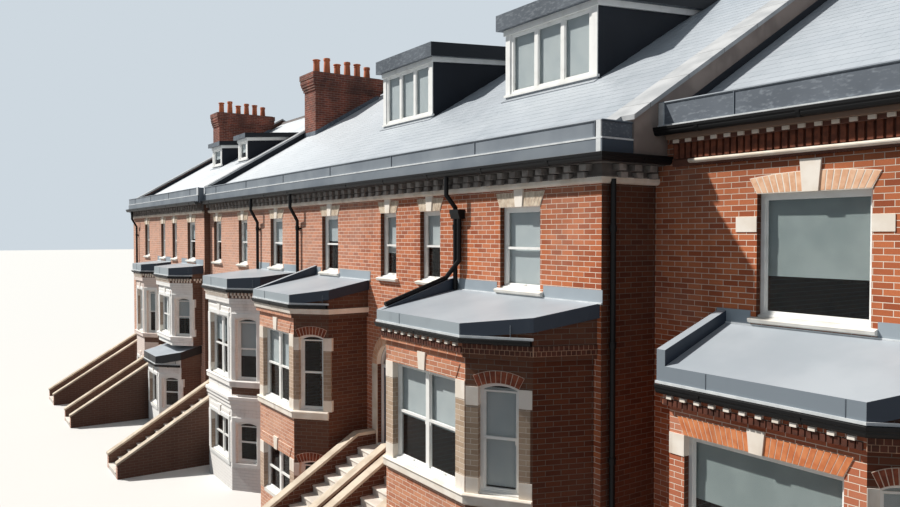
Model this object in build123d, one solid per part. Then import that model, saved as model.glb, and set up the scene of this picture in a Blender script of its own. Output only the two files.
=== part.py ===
"""Row of six brick terraced houses, three storeys and an attic, each with a bay and a flight of steps.

Millimetres, +Z up. The row runs along X and its street side faces -Y. The middle terrace of three
houses stands between a pair on its left, a little in front of it, and an end house on its right,
set back from it. Plan points are first laid out with x = 0 at the row's left end and y = 0 at the
middle terrace's street face, and the finished pieces are moved to the row's base centre.
"""

import math
import os
from dataclasses import dataclass, field

from build123d import *

# The row: frontages, and where each part of it stands.
far_house = 7200.0
narrow_house = 4600.0
wide_house = 8600.0
house_width = 5900.0
end_house = 6800.0
pair_forward = 220.0
end_set_back = 1240.0
row_depth = 15000.0

# Walls.
outer_wall = 330.0
party_wall = 225.0
fire_wall = 330.0
bay_wall = 225.0

# Floors: the top of each, and the depth of its joists and ceiling together.
lower_floor = 150.0
hall_floor = 2370.0
upper_floor = 5550.0
attic_floor = 8400.0
floor_depth = 250.0

# Roof: slope, depth of slates, boards and rafters, and the height of the slates at the street face.
roof_slope = 0.6
roof_depth = 175.0
terrace_eaves = 8900.0
end_eaves = 9100.0
rear_overhang = 150.0
ridge_width = 300.0
ridge_height = 90.0

# Walls that rise through the roof, with their copings.
parapet_rise = 220.0
parapet_start = 160.0
coping_depth = 80.0
coping_overhang = 40.0
return_start = 460.0
return_drop = 50.0
return_rear_rise = 100.0

# Cornice, lead-clad upstand and gutter along the eaves.
cornice_top = 8500.0
cornice_courses = ((0.0, 60.0, 80.0), (60.0, 240.0, 50.0), (240.0, 280.0, 200.0), (280.0, 320.0, 240.0))
end_cornice_top = 8950.0
end_cornice_courses = ((0.0, 100.0, 70.0), (100.0, 354.0, 50.0), (354.0, 420.0, 150.0),
                       (420.0, 560.0, 240.0))
end_cornice_start = 400.0
upstand_height = 560.0
end_upstand_height = 460.0
upstand_depth = 200.0
gutter_width = 120.0
gutter_depth = 130.0
gutter_wall = 12.0
gutter_drop = 70.0

# Windows and their stonework.
upper_sill = 6330.0
upper_head = 7800.0
end_upper_sill = 6110.0
end_upper_head = 7895.0
hall_sill = 3160.0
hall_head = 4960.0
lower_sill = 800.0
lower_head = 1980.0
frame_inset = 100.0
frame_depth = 90.0
frame_bar = 60.0
meeting_rail = 45.0
mullion = 110.0
glass_inset = 144.0
glass_depth = 8.0
sill_height = 90.0
sill_reach = 90.0
sill_horn = 90.0
arch_depth = 260.0
arch_inset = 90.0
arch_proud = 12.0
arch_splay = 120.0
keystone_width = 190.0
keystone_proud = 35.0
keystone_rise = 50.0
keystone_taper = 1.35
end_arch_depth = 225.0
end_arch_camber = 65.0
end_keystone_width = 230.0
end_keystone_rise = 155.0
cant_window = 680.0
cant_margin = 130.0
cant_rise_share = 0.115
cant_arch_depth = 200.0
jamb_clear = 260.0
side_window = 1000.0
rear_window = 1050.0
rear_window_shares = (0.28, 0.72)
wide_light = 1200.0

# Hall doors and their flights of steps.
door_width = 1050.0
door_height = 2420.0
door_transom = 70.0
door_leaf_depth = 50.0
door_stile = 110.0
panel_depth = 14.0
panel_levels = ((0.08, 0.42), (0.52, 0.92))
door_arch_depth = 225.0
door_arch_proud = 20.0
door_corner_clear = 70.0
step_count = 14
step_going = 280.0
landing_depth = 500.0
flight_width = 1150.0
wing_width = 200.0
wing_rise = 260.0
wing_coping = 70.0
wing_coping_overhang = 25.0

# Bays: wall heads, lead-clad roofs that fall to the street, kerbs and gutters.
bay_wall_head = 5350.0
bay_eaves = 5670.0
bay_roof_depth = 230.0
bay_roof_slope = 0.19
bay_frieze_reach = 70.0
bay_roof_reach = 130.0
bay_kerb_width = 150.0
bay_kerb_rise = 250.0
bay_gutter_depth = 150.0
bay_band_height = 160.0
bay_band_reach = 70.0
bay_opening_side = 60.0
bay_lintel_drop = 150.0
bay_clear = 215.0
shallow_eaves = 5760.0
shallow_roof_depth = 300.0
shallow_roof_slope = 0.1
end_bay_head = 4900.0
end_bay_eaves = 5190.0
end_bay_roof_depth = 260.0
end_bay_roof_slope = 0.395
end_bay_window_head = 4510.0
end_bay_kerb = (230.0, 180.0)
hung_foot = 3150.0
hung_sill = 3500.0
hung_floor_depth = 150.0
garden_head = 2350.0
garden_eaves = 2450.0
garden_roof_depth = 300.0
garden_roof_slope = 0.26

# Dormers.
dormer_front = 2600.0
dormer_fall = 0.08
dormer_apron = 110.0
dormer_head = 120.0
dormer_cheek = 100.0
dormer_roof_reach = 180.0
dormer_fascia_height = 130.0
dormer_fascia_depth = 50.0
dormer_post = 90.0
dormer_frame_inset = 5.0
dormer_frame_depth = 80.0
dormer_glass_inset = 40.0
dormer_three_lights = 2000.0
dormer_rafter_clear = 200.0

# Chimneys.
stack_width = 1030.0
stack_length = 2800.0
stack_before_ridge = 900.0
stack_below_ridge = 450.0
cap_courses = ((40.0, 100.0), (75.0, 100.0), (110.0, 100.0), (130.0, 160.0), (155.0, 210.0))
pots_per_stack = 6
pot_heights = (0.9, 1.03, 0.79, 0.97, 0.95, 0.82)
pot_height = 690.0
pot_margin = 60.0
pot_foot_radius = 140.0
pot_bore_radius = 90.0
pot_rim_radius = 155.0
pot_rim_height = 90.0
pot_waist_share = 0.86
pot_crown_share = 0.94

# Rainwater pipes and the hopper over the near house's bay.
pipe_radius = 45.0
pipe_clear = 40.0
neck_drop = 350.0
neck_foot = 730.0
hopper_top = 7800.0
hopper_height = 180.0
hopper_reach = 170.0
branch_offset = 130.0
branch_turn = 6800.0
branch_end_share = 0.92
branch_rest = 0.3
return_pipe = 170.0

hall_ceiling = upper_floor - floor_depth
return_corbel = cornice_courses[-1][2]
terrace_left = far_house + narrow_house
wide_line = terrace_left + wide_house
middle_line = wide_line + house_width
terrace_right = middle_line + house_width
row_right = terrace_right + end_house
end_door = end_house - fire_wall - door_width / 2 - door_arch_depth - door_corner_clear
end_bay_left = 0.2 * end_house
end_bay_cant = 0.075 * end_house
end_bay_front = end_door - flight_width / 2 - wing_width - bay_clear - end_bay_left - end_bay_cant


@dataclass
class Bay:
    """A bay with a square left side, a front, and a canted right side ending in a return.

    The widths are shares of the frontage. The return may splay towards the wall.
    """

    left: float
    front: float
    cant: float
    cant_depth: float
    projection: float
    splay: float = 0.0
    foot: float = 0.0
    head: float = bay_wall_head
    eaves: float = bay_eaves
    roof_depth: float = bay_roof_depth
    slope: float = bay_roof_slope
    kerb: tuple = (0.0, 0.0)
    sill: float = hall_sill
    window_head: float = hall_head
    storeys: tuple = ("hall", "lower")
    twin: bool = True


@dataclass
class Dormer:
    """A dormer: its centre and width as shares of the frontage, window height and roof edge."""

    centre: float
    width: float
    window: float
    edge: float


@dataclass
class House:
    """One house: its party lines, street face, door, bays, upper windows and dormer."""

    left: float
    width: float
    face: float
    door: float
    bays: list
    windows: list
    dormer: Dormer = None
    side_window: float = 0.0
    pipes: tuple = ()
    end: bool = False

    @property
    def right(self):
        return self.left + self.width

    def at(self, share):
        """The place along the row at a share of the frontage."""
        return self.left + share * self.width


shallow = dict(eaves=shallow_eaves, roof_depth=shallow_roof_depth, slope=shallow_roof_slope)
kerbed = (0.0, bay_kerb_rise)
hung_bay = Bay(0.391, 0.435, 0.141, 600, 950, foot=hung_foot, sill=hung_sill, storeys=("hall",), **shallow)
garden_bay = Bay(0.405, 0.365, 0.148, 650, 1380, head=garden_head, eaves=garden_eaves,
                 roof_depth=garden_roof_depth, slope=garden_roof_slope, storeys=("lower",), twin=False)
end_bay = Bay(end_bay_left / end_house, end_bay_front / end_house, end_bay_cant / end_house, 500,
              end_set_back, head=end_bay_head, eaves=end_bay_eaves, roof_depth=end_bay_roof_depth,
              slope=end_bay_roof_slope, kerb=end_bay_kerb, window_head=end_bay_window_head, twin=False)

far = House(0, far_house, -pair_forward, 0.458, [Bay(0.701, 0.201, 0.0695, 450, 950, **shallow)],
            [(0.4056, 850), (0.8167, 700)], Dormer(0.632, 0.19, 760, 190), pipes=(0.153,))
narrow = House(far_house, narrow_house, -pair_forward, 0.178, [hung_bay, garden_bay],
               [(0.126, 700), (0.663, 1060)], Dormer(0.204, 0.248, 760, 190))
wide = House(terrace_left, wide_house, 0, 0.441, [Bay(0.61, 0.25, 0.087, 600, 1600, **shallow)],
             [(0.122, 850), (0.441, 850), (0.79, 970)], side_window=0.122, pipes=(0.628, 0.999))
middle = House(wide_line, house_width, 0, 0.856, [Bay(0.186, 0.381, 0.11, 600, 1600, kerb=kerbed)],
               [(0.3305, 970), (0.856, 720)], Dormer(0.263, 0.458, 1400, 370))
near = House(middle_line, house_width, 0, 0.156,
             [Bay(0.322, 0.437, 0.156, 640, 1600, splay=350, kerb=kerbed)],
             [(0.156, 780), (0.658, 1120)], Dormer(0.286, 0.508, 1400, 370))
end = House(terrace_right, end_house, end_set_back, end_door / end_house, [end_bay],
            [(0.398, 1650), (end_door / end_house, 800)], end=True)
houses = [far, narrow, wide, middle, near, end]

nodes = {}


def keep(name, *shapes):
    """Add the solids of the shapes to a named piece."""
    for shape in shapes:
        nodes.setdefault(name, []).extend(shape.solids())


def block(x0, x1, y0, y1, z0, z1):
    """A box between two corners."""
    return Pos((x0 + x1) / 2, (y0 + y1) / 2, (z0 + z1) / 2) * Box(x1 - x0, y1 - y0, z1 - z0)


def polygon(points):
    """A flat face with the given corners."""
    return make_face(Polyline(*points, close=True))


def upright(points, z0, z1):
    """A plan outline raised from one level to another."""
    return Pos(0, 0, z0) * extrude(polygon(points), z1 - z0)


def across(points, x0, x1):
    """A cross-section, drawn as (y, z), run along the row."""
    return extrude(Plane.YZ.offset(x0) * polygon(points), x1 - x0)


def shifted(path, distance):
    """The plan path moved to its left by a distance, with mitred corners."""
    runs = []
    for (ax, ay), (bx, by) in zip(path, path[1:]):
        length = math.hypot(bx - ax, by - ay)
        across_x = (by - ay) / length * distance
        across_y = (bx - ax) / length * distance
        runs.append((ax - across_x, ay + across_y, bx - ax, by - ay))
    points = [runs[0][:2]]
    for (ax, ay, au, av), (bx, by, bu, bv) in zip(runs, runs[1:]):
        along = ((bx - ax) * bv - (by - ay) * bu) / (au * bv - av * bu)
        points.append((ax + au * along, ay + av * along))
    last = runs[-1]
    points.append((last[0] + last[2], last[1] + last[3]))
    return points


def band(path, inner, outer, z0, z1):
    """A course that follows a plan path, between two distances to its right."""
    return upright(shifted(path, -outer) + shifted(path, -inner)[::-1], z0, z1)


def face_of(start, finish):
    """The outer face of a wall from start to finish, seen from outside with start on the left."""
    run = Vector(finish[0] - start[0], finish[1] - start[1], 0)
    return Plane(origin=(start[0], start[1], 0), x_dir=run, z_dir=(run.Y, -run.X, 0))


def area(u0, u1, v0, v1, rise=0.0):
    """A rectangle on a wall face, with a segmental or round head where rise is given."""
    if not rise:
        return Pos((u0 + u1) / 2, (v0 + v1) / 2) * Rectangle(u1 - u0, v1 - v0)
    spring = v1 - rise
    sides = Polyline((u0, spring), (u0, v0), (u1, v0), (u1, spring))
    head = ThreePointArc((u1, spring), ((u0 + u1) / 2, v1), (u0, spring))
    return make_face([*sides.edges(), head.edge()])


def layer(outline, low, high):
    """An outline on a wall face given depth, measured outwards from the face."""
    return Pos(0, 0, low) * extrude(outline, high - low)


@dataclass
class Opening:
    """A window or doorway on a wall face: centre, width, sill and crown heights, and head rise.

    The arch over a straight head has its own depth, camber, keystone width and keystone rise.
    """

    face: Plane
    centre: float
    width: float
    sill: float
    head: float
    rise: float = 0.0
    columns: int = 1
    rows: int = 2
    arch: float = arch_depth
    camber: float = 0.0
    key_width: float = keystone_width
    key_rise: float = keystone_rise

    @property
    def left(self):
        return self.centre - self.width / 2

    @property
    def right(self):
        return self.centre + self.width / 2

    def place(self, shape):
        return self.face.location * shape

    def hole(self, depth, drop=sill_height):
        """What is cut out of the wall, with room for the sill below."""
        upper = layer(area(self.left, self.right, self.sill, self.head, self.rise), -depth, 1)
        lower = layer(area(self.left, self.right, self.sill - drop, self.sill), -depth, 1)
        return self.place(upper + lower)

    def lights(self):
        """The panes, as outlines between the frame bars."""
        bar = (self.width - 2 * frame_bar - (self.columns - 1) * mullion) / self.columns
        tall = (self.head - self.sill - 2 * frame_bar - (self.rows - 1) * meeting_rail) / self.rows
        panes = []
        for column in range(self.columns):
            u0 = self.left + frame_bar + column * (bar + mullion)
            for row in range(self.rows):
                v0 = self.sill + frame_bar + row * (tall + meeting_rail)
                top = row == self.rows - 1
                rise = self.rise * bar / self.width if top and self.columns == 1 else 0
                panes.append(area(u0, u0 + bar, v0, v0 + tall, rise))
        return panes

    def daylight(self):
        """The opening inside the frame's four sides."""
        inner = self.width - 2 * frame_bar
        return area(self.left + frame_bar, self.right - frame_bar, self.sill + frame_bar,
                    self.head - frame_bar, self.rise * inner / self.width)

    def frame(self):
        """Four sides to the full depth, with the rails and mullions planted on the glass."""
        outline = area(self.left, self.right, self.sill, self.head, self.rise)
        daylight = self.daylight()
        frame = layer(outline - daylight, -frame_inset - frame_depth, -frame_inset)
        if self.columns * self.rows > 1:
            bars = daylight - self.lights()
            frame += layer(bars, -glass_inset, -frame_inset)
        return self.place(frame)

    def glass(self):
        return self.place(layer(self.daylight(), -glass_inset - glass_depth, -glass_inset))

    def sill_stone(self):
        """A sill that runs back to the frame and stands out past the face and the jambs."""
        bearing = layer(area(self.left, self.right, self.sill - sill_height, self.sill), -frame_inset, 0)
        nose = area(self.left - sill_horn, self.right + sill_horn, self.sill - sill_height, self.sill)
        return self.place(bearing + layer(nose, 0, sill_reach))

    def keystone_outline(self):
        half = self.key_width / 2
        wide_half = half * keystone_taper
        top = self.head + self.arch + self.camber + self.key_rise
        return polygon([(self.centre - half, self.head), (self.centre + half, self.head),
                        (self.centre + wide_half, top), (self.centre - wide_half, top)])

    def flat_arch_outline(self):
        """A straight arch with splayed ends, its top cambered where the arch has a camber."""
        top = self.head + self.arch
        ends = ((self.left - arch_splay, top), (self.right + arch_splay, top))
        if not self.camber:
            return polygon([(self.left, self.head), (self.right, self.head), ends[1], ends[0]])
        sides = Polyline(ends[0], (self.left, self.head), (self.right, self.head), ends[1])
        crown = ThreePointArc(ends[1], (self.centre, top + self.camber), ends[0])
        return make_face([*sides.edges(), crown.edge()])

    def round_arch_outline(self, depth):
        """The ring of voussoirs over a segmental or round head."""
        half = self.width / 2
        radius = (half * half + self.rise * self.rise) / (2 * self.rise)
        centre = self.head - radius
        angle = math.asin(min(1.0, half / radius))
        outer = radius + depth

        def rim(reach, turn):
            return (self.centre + reach * math.sin(turn), centre + reach * math.cos(turn))

        inside = ThreePointArc(rim(radius, -angle), rim(radius, 0), rim(radius, angle))
        outside = ThreePointArc(rim(outer, angle), rim(outer, 0), rim(outer, -angle))
        joints = [Line(rim(radius, angle), rim(outer, angle)), Line(rim(outer, -angle), rim(radius, -angle))]
        return make_face([inside.edge(), joints[0].edge(), outside.edge(), joints[1].edge()])

    def arch_pieces(self, with_keystone=True):
        """The arch, its keystone where it has one, and the pocket that they fill."""
        outline = self.round_arch_outline(cant_arch_depth) if self.rise else self.flat_arch_outline()
        if not with_keystone:
            return layer(outline, -arch_inset, arch_proud), None, layer(outline, -arch_inset, 1)
        stone = self.keystone_outline()
        arch = layer(outline - stone, -arch_inset, arch_proud)
        return arch, layer(stone, -arch_inset, keystone_proud), layer(outline + stone, -arch_inset, 1)


def ridge_of(is_end):
    """Distance back of the ridge, midway over the house."""
    return ((end_set_back if is_end else 0) + row_depth) / 2


def roof_top(y, is_end=False):
    """Top of either slope over a point of the plan."""
    ridge = ridge_of(is_end)
    eaves, face = (end_eaves, end_set_back) if is_end else (terrace_eaves, 0)
    return eaves + roof_slope * (ridge - face - abs(y - ridge))


def bay_path(house, bay):
    """The bay's outer plan corners, from its left side at the wall round to its right."""
    left = house.at(bay.left)
    corner = house.at(bay.left + bay.front)
    right = house.at(bay.left + bay.front + bay.cant)
    front = house.face - bay.projection
    return [(left, house.face), (left, front), (corner, front), (right, front + bay.cant_depth),
            (right + bay.splay, house.face)]


def bay_roof_line(house, bay):
    """The street edge of the bay's roof, and its underside and top there and at the wall."""
    edge = house.face - bay.projection - bay_roof_reach
    climb = bay.slope * (house.face - edge)
    return edge, bay.eaves, bay.eaves + climb, bay.eaves + bay.roof_depth, bay.eaves + bay.roof_depth + climb


def bay_openings(house, bay):
    """Windows of the bay's front and canted side, in each storey that it has."""
    path = bay_path(house, bay)
    front = face_of(path[1], path[2])
    cant = face_of(path[2], path[3])
    front_length = math.dist(path[1], path[2])
    cant_length = math.dist(path[2], path[3])
    count = 2 if bay.twin else 1
    width = min(cant_window, cant_length - 2 * cant_margin)
    levels = {"hall": (bay.sill, bay.window_head), "lower": (lower_sill, lower_head)}
    result = []
    for storey in bay.storeys:
        sill, head = levels[storey]
        result.append(("front", Opening(front, front_length / 2, front_length - 2 * jamb_clear, sill, head,
                                        0, count, count)))
        result.append(("cant", Opening(cant, cant_length / 2, width, sill, head, width * cant_rise_share)))
    return result


def front_openings(house):
    """Upper windows, and the hall and lower windows of the wide house beyond its door."""
    face = face_of((0, house.face), (row_right, house.face))
    result = []
    for share, width in house.windows:
        centre = house.at(share)
        if house.end:
            rows = 1 if width > wide_light else 2
            result.append(Opening(face, centre, width, end_upper_sill, end_upper_head, 0, 1, rows,
                                  end_arch_depth, end_arch_camber, end_keystone_width, end_keystone_rise))
        else:
            result.append(Opening(face, centre, width, upper_sill, upper_head))
    if house.side_window:
        centre = house.at(house.side_window)
        result.append(Opening(face, centre, side_window, hall_sill, hall_head))
        result.append(Opening(face, centre, side_window, lower_sill, lower_head))
    return result


def door_opening(house):
    face = face_of((0, house.face), (row_right, house.face))
    head = hall_floor + door_height
    return Opening(face, house.at(house.door), door_width, hall_floor, head, door_width / 2)


def rear_openings(house):
    """Two windows a storey on the garden side."""
    face = face_of((row_right, row_depth), (0, row_depth))
    result = []
    for share in rear_window_shares:
        centre = row_right - house.at(share)
        for sill, head in ((lower_sill, lower_head), (hall_sill, hall_head), (upper_sill, upper_head)):
            result.append(Opening(face, centre, rear_window, sill, head))
    return result


def bay_archways(house):
    """What is cut from the street wall behind each bay, storey by storey."""
    back = house.face + outer_wall + 1
    cuts = []
    for bay in house.bays:
        path = bay_path(house, bay)
        x0 = path[0][0] + bay_wall + bay_opening_side
        x1 = path[-1][0] - bay_wall - bay_opening_side
        lintel = bay.head - bay_lintel_drop
        if "hall" in bay.storeys:
            floor = bay.foot + hung_floor_depth if bay.foot else hall_floor
            cuts.append(block(x0, x1, house.face - 1, back, floor, lintel))
        if "lower" in bay.storeys:
            ceiling = hall_floor - floor_depth
            cuts.append(block(x0, x1, house.face - 1, back, lower_floor, min(lintel, ceiling)))
    return cuts


def build_walls():
    """Street, garden and party walls, with every window and doorway cut through."""
    groups = [
        (fire_wall, terrace_left - fire_wall / 2, [far, narrow]),
        (terrace_left + fire_wall / 2, terrace_right - fire_wall, [wide, middle, near]),
        (terrace_right, row_right - fire_wall, [end]),
    ]
    for left, right, group in groups:
        face = group[0].face
        is_end = group[0].end
        inner = face + outer_wall
        top = [roof_top(y, is_end) - roof_depth for y in (face, inner)]
        wall = across([(face, 0), (inner, 0), (inner, top[1]), (face, top[0])], left, right)
        cuts = []
        for house in group:
            for opening in front_openings(house):
                arch, key, pocket = opening.arch_pieces()
                cuts += [opening.hole(outer_wall + 1), opening.place(pocket)]
                keep("window_arches", opening.place(arch))
                keep("keystones", opening.place(key))
                keep("window_frames", opening.frame())
                keep("window_glass", opening.glass())
                keep("window_sills", opening.sill_stone())
            door = door_opening(house)
            ring = door.round_arch_outline(door_arch_depth)
            cuts.append(door.hole(outer_wall + 1, 0.001))
            cuts.append(door.place(layer(ring, -arch_inset, 1)))
            keep("door_arches", door.place(layer(ring, -arch_inset, door_arch_proud)))
            build_door(door)
            cuts += bay_archways(house)
        keep("front_walls", wall - cuts)
        back = row_depth - outer_wall
        rear_top = [roof_top(y, is_end) - roof_depth for y in (back, row_depth)]
        rear = across([(back, 0), (row_depth, 0), (row_depth, rear_top[1]), (back, rear_top[0])],
                      left, right)
        cuts = []
        for house in group:
            for opening in rear_openings(house):
                cuts.append(opening.hole(outer_wall + 1))
                keep("rear_frames", opening.frame())
                keep("rear_glass", opening.glass())
                keep("rear_sills", opening.sill_stone())
        keep("rear_walls", rear - cuts)
    for line, front in ((narrow.left, narrow.face), (middle.left, 0), (near.left, 0)):
        y0 = front + outer_wall
        y1 = row_depth - outer_wall
        ridge = ridge_of(False)
        keep("party_walls", across(
            [(y0, 0), (y1, 0), (y1, roof_top(y1) - roof_depth), (ridge, roof_top(ridge) - roof_depth),
             (y0, roof_top(y0) - roof_depth)], line - party_wall / 2, line + party_wall / 2))


def build_door(door):
    """The hall door's frame with its transom, the panelled leaf and the fanlight over it."""
    spring = door.head - door.rise
    transom = spring - door_transom
    outline = area(door.left, door.right, door.sill, door.head, door.rise)
    inner_left = door.left + frame_bar
    inner_right = door.right - frame_bar
    fan = area(inner_left, inner_right, spring, door.head - frame_bar, door.rise - frame_bar - 0.01)
    leaf = area(inner_left, inner_right, door.sill, transom)
    back = -frame_inset - frame_depth
    front = back + door_leaf_depth
    keep("door_frames", door.place(layer(outline - fan - leaf, back, -frame_inset)))
    keep("fanlights", door.place(layer(fan, -glass_inset - glass_depth, -glass_inset)))
    board = layer(leaf, back, front)
    wide_panel = (inner_right - inner_left - 3 * door_stile) / 2
    tall = transom - door.sill
    for column in range(2):
        u0 = inner_left + door_stile + column * (wide_panel + door_stile)
        for low, high in panel_levels:
            panel = area(u0, u0 + wide_panel, door.sill + tall * low, door.sill + tall * high)
            board -= layer(panel, front - panel_depth, front + 1)
    keep("door_leaves", door.place(board))


def build_floors():
    """The four floors of each house, and the floors in its bays."""
    clear = {0: (0, fire_wall), terrace_left: (fire_wall / 2, fire_wall / 2), terrace_right: (fire_wall, 0),
             row_right: (fire_wall, 0)}
    middle_clear = (party_wall / 2, party_wall / 2)
    for house in houses:
        x0 = house.left + clear.get(house.left, middle_clear)[1]
        x1 = house.right - clear.get(house.right, middle_clear)[0]
        y0 = house.face + outer_wall
        y1 = row_depth - outer_wall
        keep("lower_floors", block(x0, x1, y0, y1, 0, lower_floor))
        keep("hall_floors", block(x0, x1, y0, y1, hall_floor - floor_depth, hall_floor))
        keep("upper_floors", block(x0, x1, y0, y1, hall_ceiling, upper_floor))
        keep("attic_floors", block(x0, x1, y0, y1, attic_floor - floor_depth, attic_floor))
        for bay in house.bays:
            inner = bay_inner(house, bay_path(house, bay))
            if bay.foot:
                keep("bay_floors", upright(inner, bay.foot, bay.foot + hung_floor_depth))
                continue
            keep("bay_floors", upright(inner, 0, lower_floor))
            if "hall" in bay.storeys:
                keep("bay_floors", upright(inner, hall_floor - floor_depth, hall_floor))


def stack_box(left, is_end):
    """The upright space of one chimney, on the front slope just below the ridge."""
    y1 = ridge_of(is_end) - stack_before_ridge
    y0 = y1 - stack_length
    return block(left, left + stack_width, y0, y1, terrace_eaves, stack_top(is_end))


def stack_top(is_end):
    return roof_top(ridge_of(is_end), is_end) - stack_below_ridge


def slope_under(x0, x1, is_end):
    """Everything under the roof's top over a stretch of the row."""
    front = -row_depth / 2
    ridge = ridge_of(is_end)
    back = 2 * ridge - front
    return across([(front, 0), (back, 0), (back, roof_top(back, is_end)),
                   (ridge, roof_top(ridge, is_end)), (front, roof_top(front, is_end))], x0, x1)


def build_fire_walls():
    """The four walls that rise through the roof, their copings, and the chimneys beside three of them."""
    half = fire_wall / 2
    lines = [
        (0, fire_wall, -pair_forward, False, 0),
        (terrace_left - half, terrace_left + half, -pair_forward, False, terrace_left + half),
        (row_right - fire_wall, row_right, end_set_back, True, row_right - stack_width),
    ]
    for x0, x1, face, is_end, stack in lines:
        ridge = ridge_of(is_end)
        start = face + parapet_start
        rear = roof_top(row_depth, is_end)
        heights = [(start, roof_top(start, is_end)), (ridge, roof_top(ridge, is_end)), (row_depth, rear)]
        wall = across([(face, 0), (row_depth, 0)] + [(y, z + parapet_rise) for y, z in heights[::-1]]
                      + [(start, roof_top(start, is_end)), (face, roof_top(face, is_end))], x0, x1)
        lip = coping_overhang
        heights[0] = (start - lip, roof_top(start - lip, is_end))
        heights[2] = (row_depth + lip, rear - roof_slope * lip)
        foot = [(y, z + parapet_rise) for y, z in heights]
        crown = [(y, z + parapet_rise + coping_depth) for y, z in heights[::-1]]
        coping = across(foot + crown, max(x0 - lip, 0), min(x1 + lip, row_right))
        shaft = stack_box(stack, is_end) - slope_under(x0 - stack_width, x1 + stack_width, is_end)
        cap = chimney_top(stack, is_end)
        keep("chimney_stacks", shaft)
        keep("fire_walls", wall - [shaft, cap])
        keep("parapet_copings", coping - [shaft, cap])
    build_return_wall()


def build_return_wall():
    """The wall between the terrace and the end house, thickened over the end house's roof.

    Its coping lies almost in the terrace's slope. Behind the ridges it clears the end house's roof.
    """
    x0 = terrace_right - fire_wall
    rear = roof_top(row_depth, True) + return_rear_rise
    peak_y = (rear + return_drop - terrace_eaves + roof_slope * row_depth) / (2 * roof_slope)
    peak = terrace_eaves + roof_slope * peak_y - return_drop
    front = terrace_eaves - return_drop
    wall = across([(0, 0), (row_depth, 0), (row_depth, rear), (peak_y, peak), (0, front)], x0, terrace_right)
    start = return_start
    start_top = terrace_eaves + roof_slope * start - return_drop
    ridge = ridge_of(True)
    outer = across([(start, cornice_top), (end_set_back, cornice_top), (end_set_back, end_eaves),
                    (ridge, roof_top(ridge, True)), (row_depth, roof_top(row_depth, True)),
                    (row_depth, rear), (peak_y, peak), (start, start_top)],
                   terrace_right, terrace_right + return_corbel)
    keep("fire_walls", wall)
    keep("oversailing_wall", outer)
    lip = coping_overhang
    foot = [(0, front), (peak_y, peak), (row_depth + lip, rear - roof_slope * lip)]
    crown = [(y, z + coping_depth) for y, z in foot[::-1]]
    coping = across(foot + crown, x0, terrace_right)
    foot[0] = (start - lip, start_top - roof_slope * lip)
    crown = [(y, z + coping_depth) for y, z in foot[::-1]]
    coping += across(foot + crown, terrace_right, terrace_right + return_corbel + lip)
    keep("parapet_copings", coping)


def chimney_top(left, is_end):
    """The corbelled cap, which is given back, and the row of clay pots on it."""
    y1 = ridge_of(is_end) - stack_before_ridge
    y0 = y1 - stack_length
    level = stack_top(is_end)
    cap = None
    for reach, height in cap_courses:
        x0 = max(left - reach, 0)
        x1 = min(left + stack_width + reach, row_right)
        course = block(x0, x1, y0 - reach, y1 + reach, level, level + height)
        cap = course if cap is None else cap + course
        level += height
    keep("chimney_caps", cap)
    spacing = (stack_length - 2 * pot_margin) / pots_per_stack
    for number in range(pots_per_stack):
        y = y0 + pot_margin + spacing * (number + 0.5)
        tall = pot_height * pot_heights[number % len(pot_heights)]
        waist = pot_foot_radius * pot_waist_share
        outline = polygon([(pot_bore_radius, 0), (pot_foot_radius, 0), (waist, tall - pot_rim_height),
                           (pot_rim_radius, tall - pot_rim_height), (pot_rim_radius * pot_crown_share, tall),
                           (pot_bore_radius, tall)])
        pot = revolve(Plane.XZ * outline, Axis.Z)
        keep("chimney_pots", Pos(left + stack_width / 2, y, level) * pot)
    return cap


def dormer_levels(dormer):
    """Foot of the dormer's front on the slope, its window sill and the underside of its roof."""
    foot = roof_top(dormer_front)
    sill = foot + dormer_apron
    return foot, sill, sill + dormer.window + dormer_head


def dormer_plane(level, y):
    """Height at y of a dormer's roof plane that has the level at its front."""
    return level + dormer_fall * (y - dormer_front)


def dormer_meets(level):
    """Distance back at which such a plane meets the front slope."""
    return (level - dormer_fall * dormer_front - terrace_eaves) / (roof_slope - dormer_fall)


def build_roofs():
    """The slopes, cut for the dormers, and the ridges."""
    spans = [
        (fire_wall, terrace_left - fire_wall / 2, -pair_forward, [far, narrow]),
        (terrace_left + fire_wall / 2, terrace_right - fire_wall, 0, [wide, middle, near]),
        (terrace_right, row_right - fire_wall, end_set_back, [end]),
    ]
    for x0, x1, eaves, group in spans:
        is_end = group[0].end
        ridge = ridge_of(is_end)
        peak = roof_top(ridge, is_end)
        back = row_depth + rear_overhang
        slopes = []
        for edge in (eaves, back):
            low = roof_top(edge, is_end)
            slopes.append(across([(edge, low - roof_depth), (ridge, peak - roof_depth),
                                  (ridge, peak), (edge, low)], x0, x1))
        for house in group:
            if house.dormer:
                left, right, levels = dormer_sides(house)
                slopes[0] -= block(left + dormer_cheek, right - dormer_cheek, dormer_front + dormer_cheek,
                                   dormer_meets(levels[-1]) - dormer_rafter_clear, attic_floor, peak)
        keep("front_slopes", slopes[0])
        keep("rear_slopes", slopes[1])
        half = ridge_width / 2
        wing = peak - roof_slope * half
        ridge_start = x0 + coping_overhang + (return_corbel if is_end else 0)
        keep("ridge_caps", across([(ridge - half, wing), (ridge, peak), (ridge + half, wing),
                                   (ridge + half, wing + ridge_height / 2), (ridge, peak + ridge_height),
                                   (ridge - half, wing + ridge_height / 2)],
                                  ridge_start, x1 - coping_overhang))


def dormer_sides(house):
    """Outer faces of the dormer's cheeks, and its levels."""
    centre = house.at(house.dormer.centre)
    half = house.dormer.width * house.width / 2
    return centre - half, centre + half, dormer_levels(house.dormer)


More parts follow.
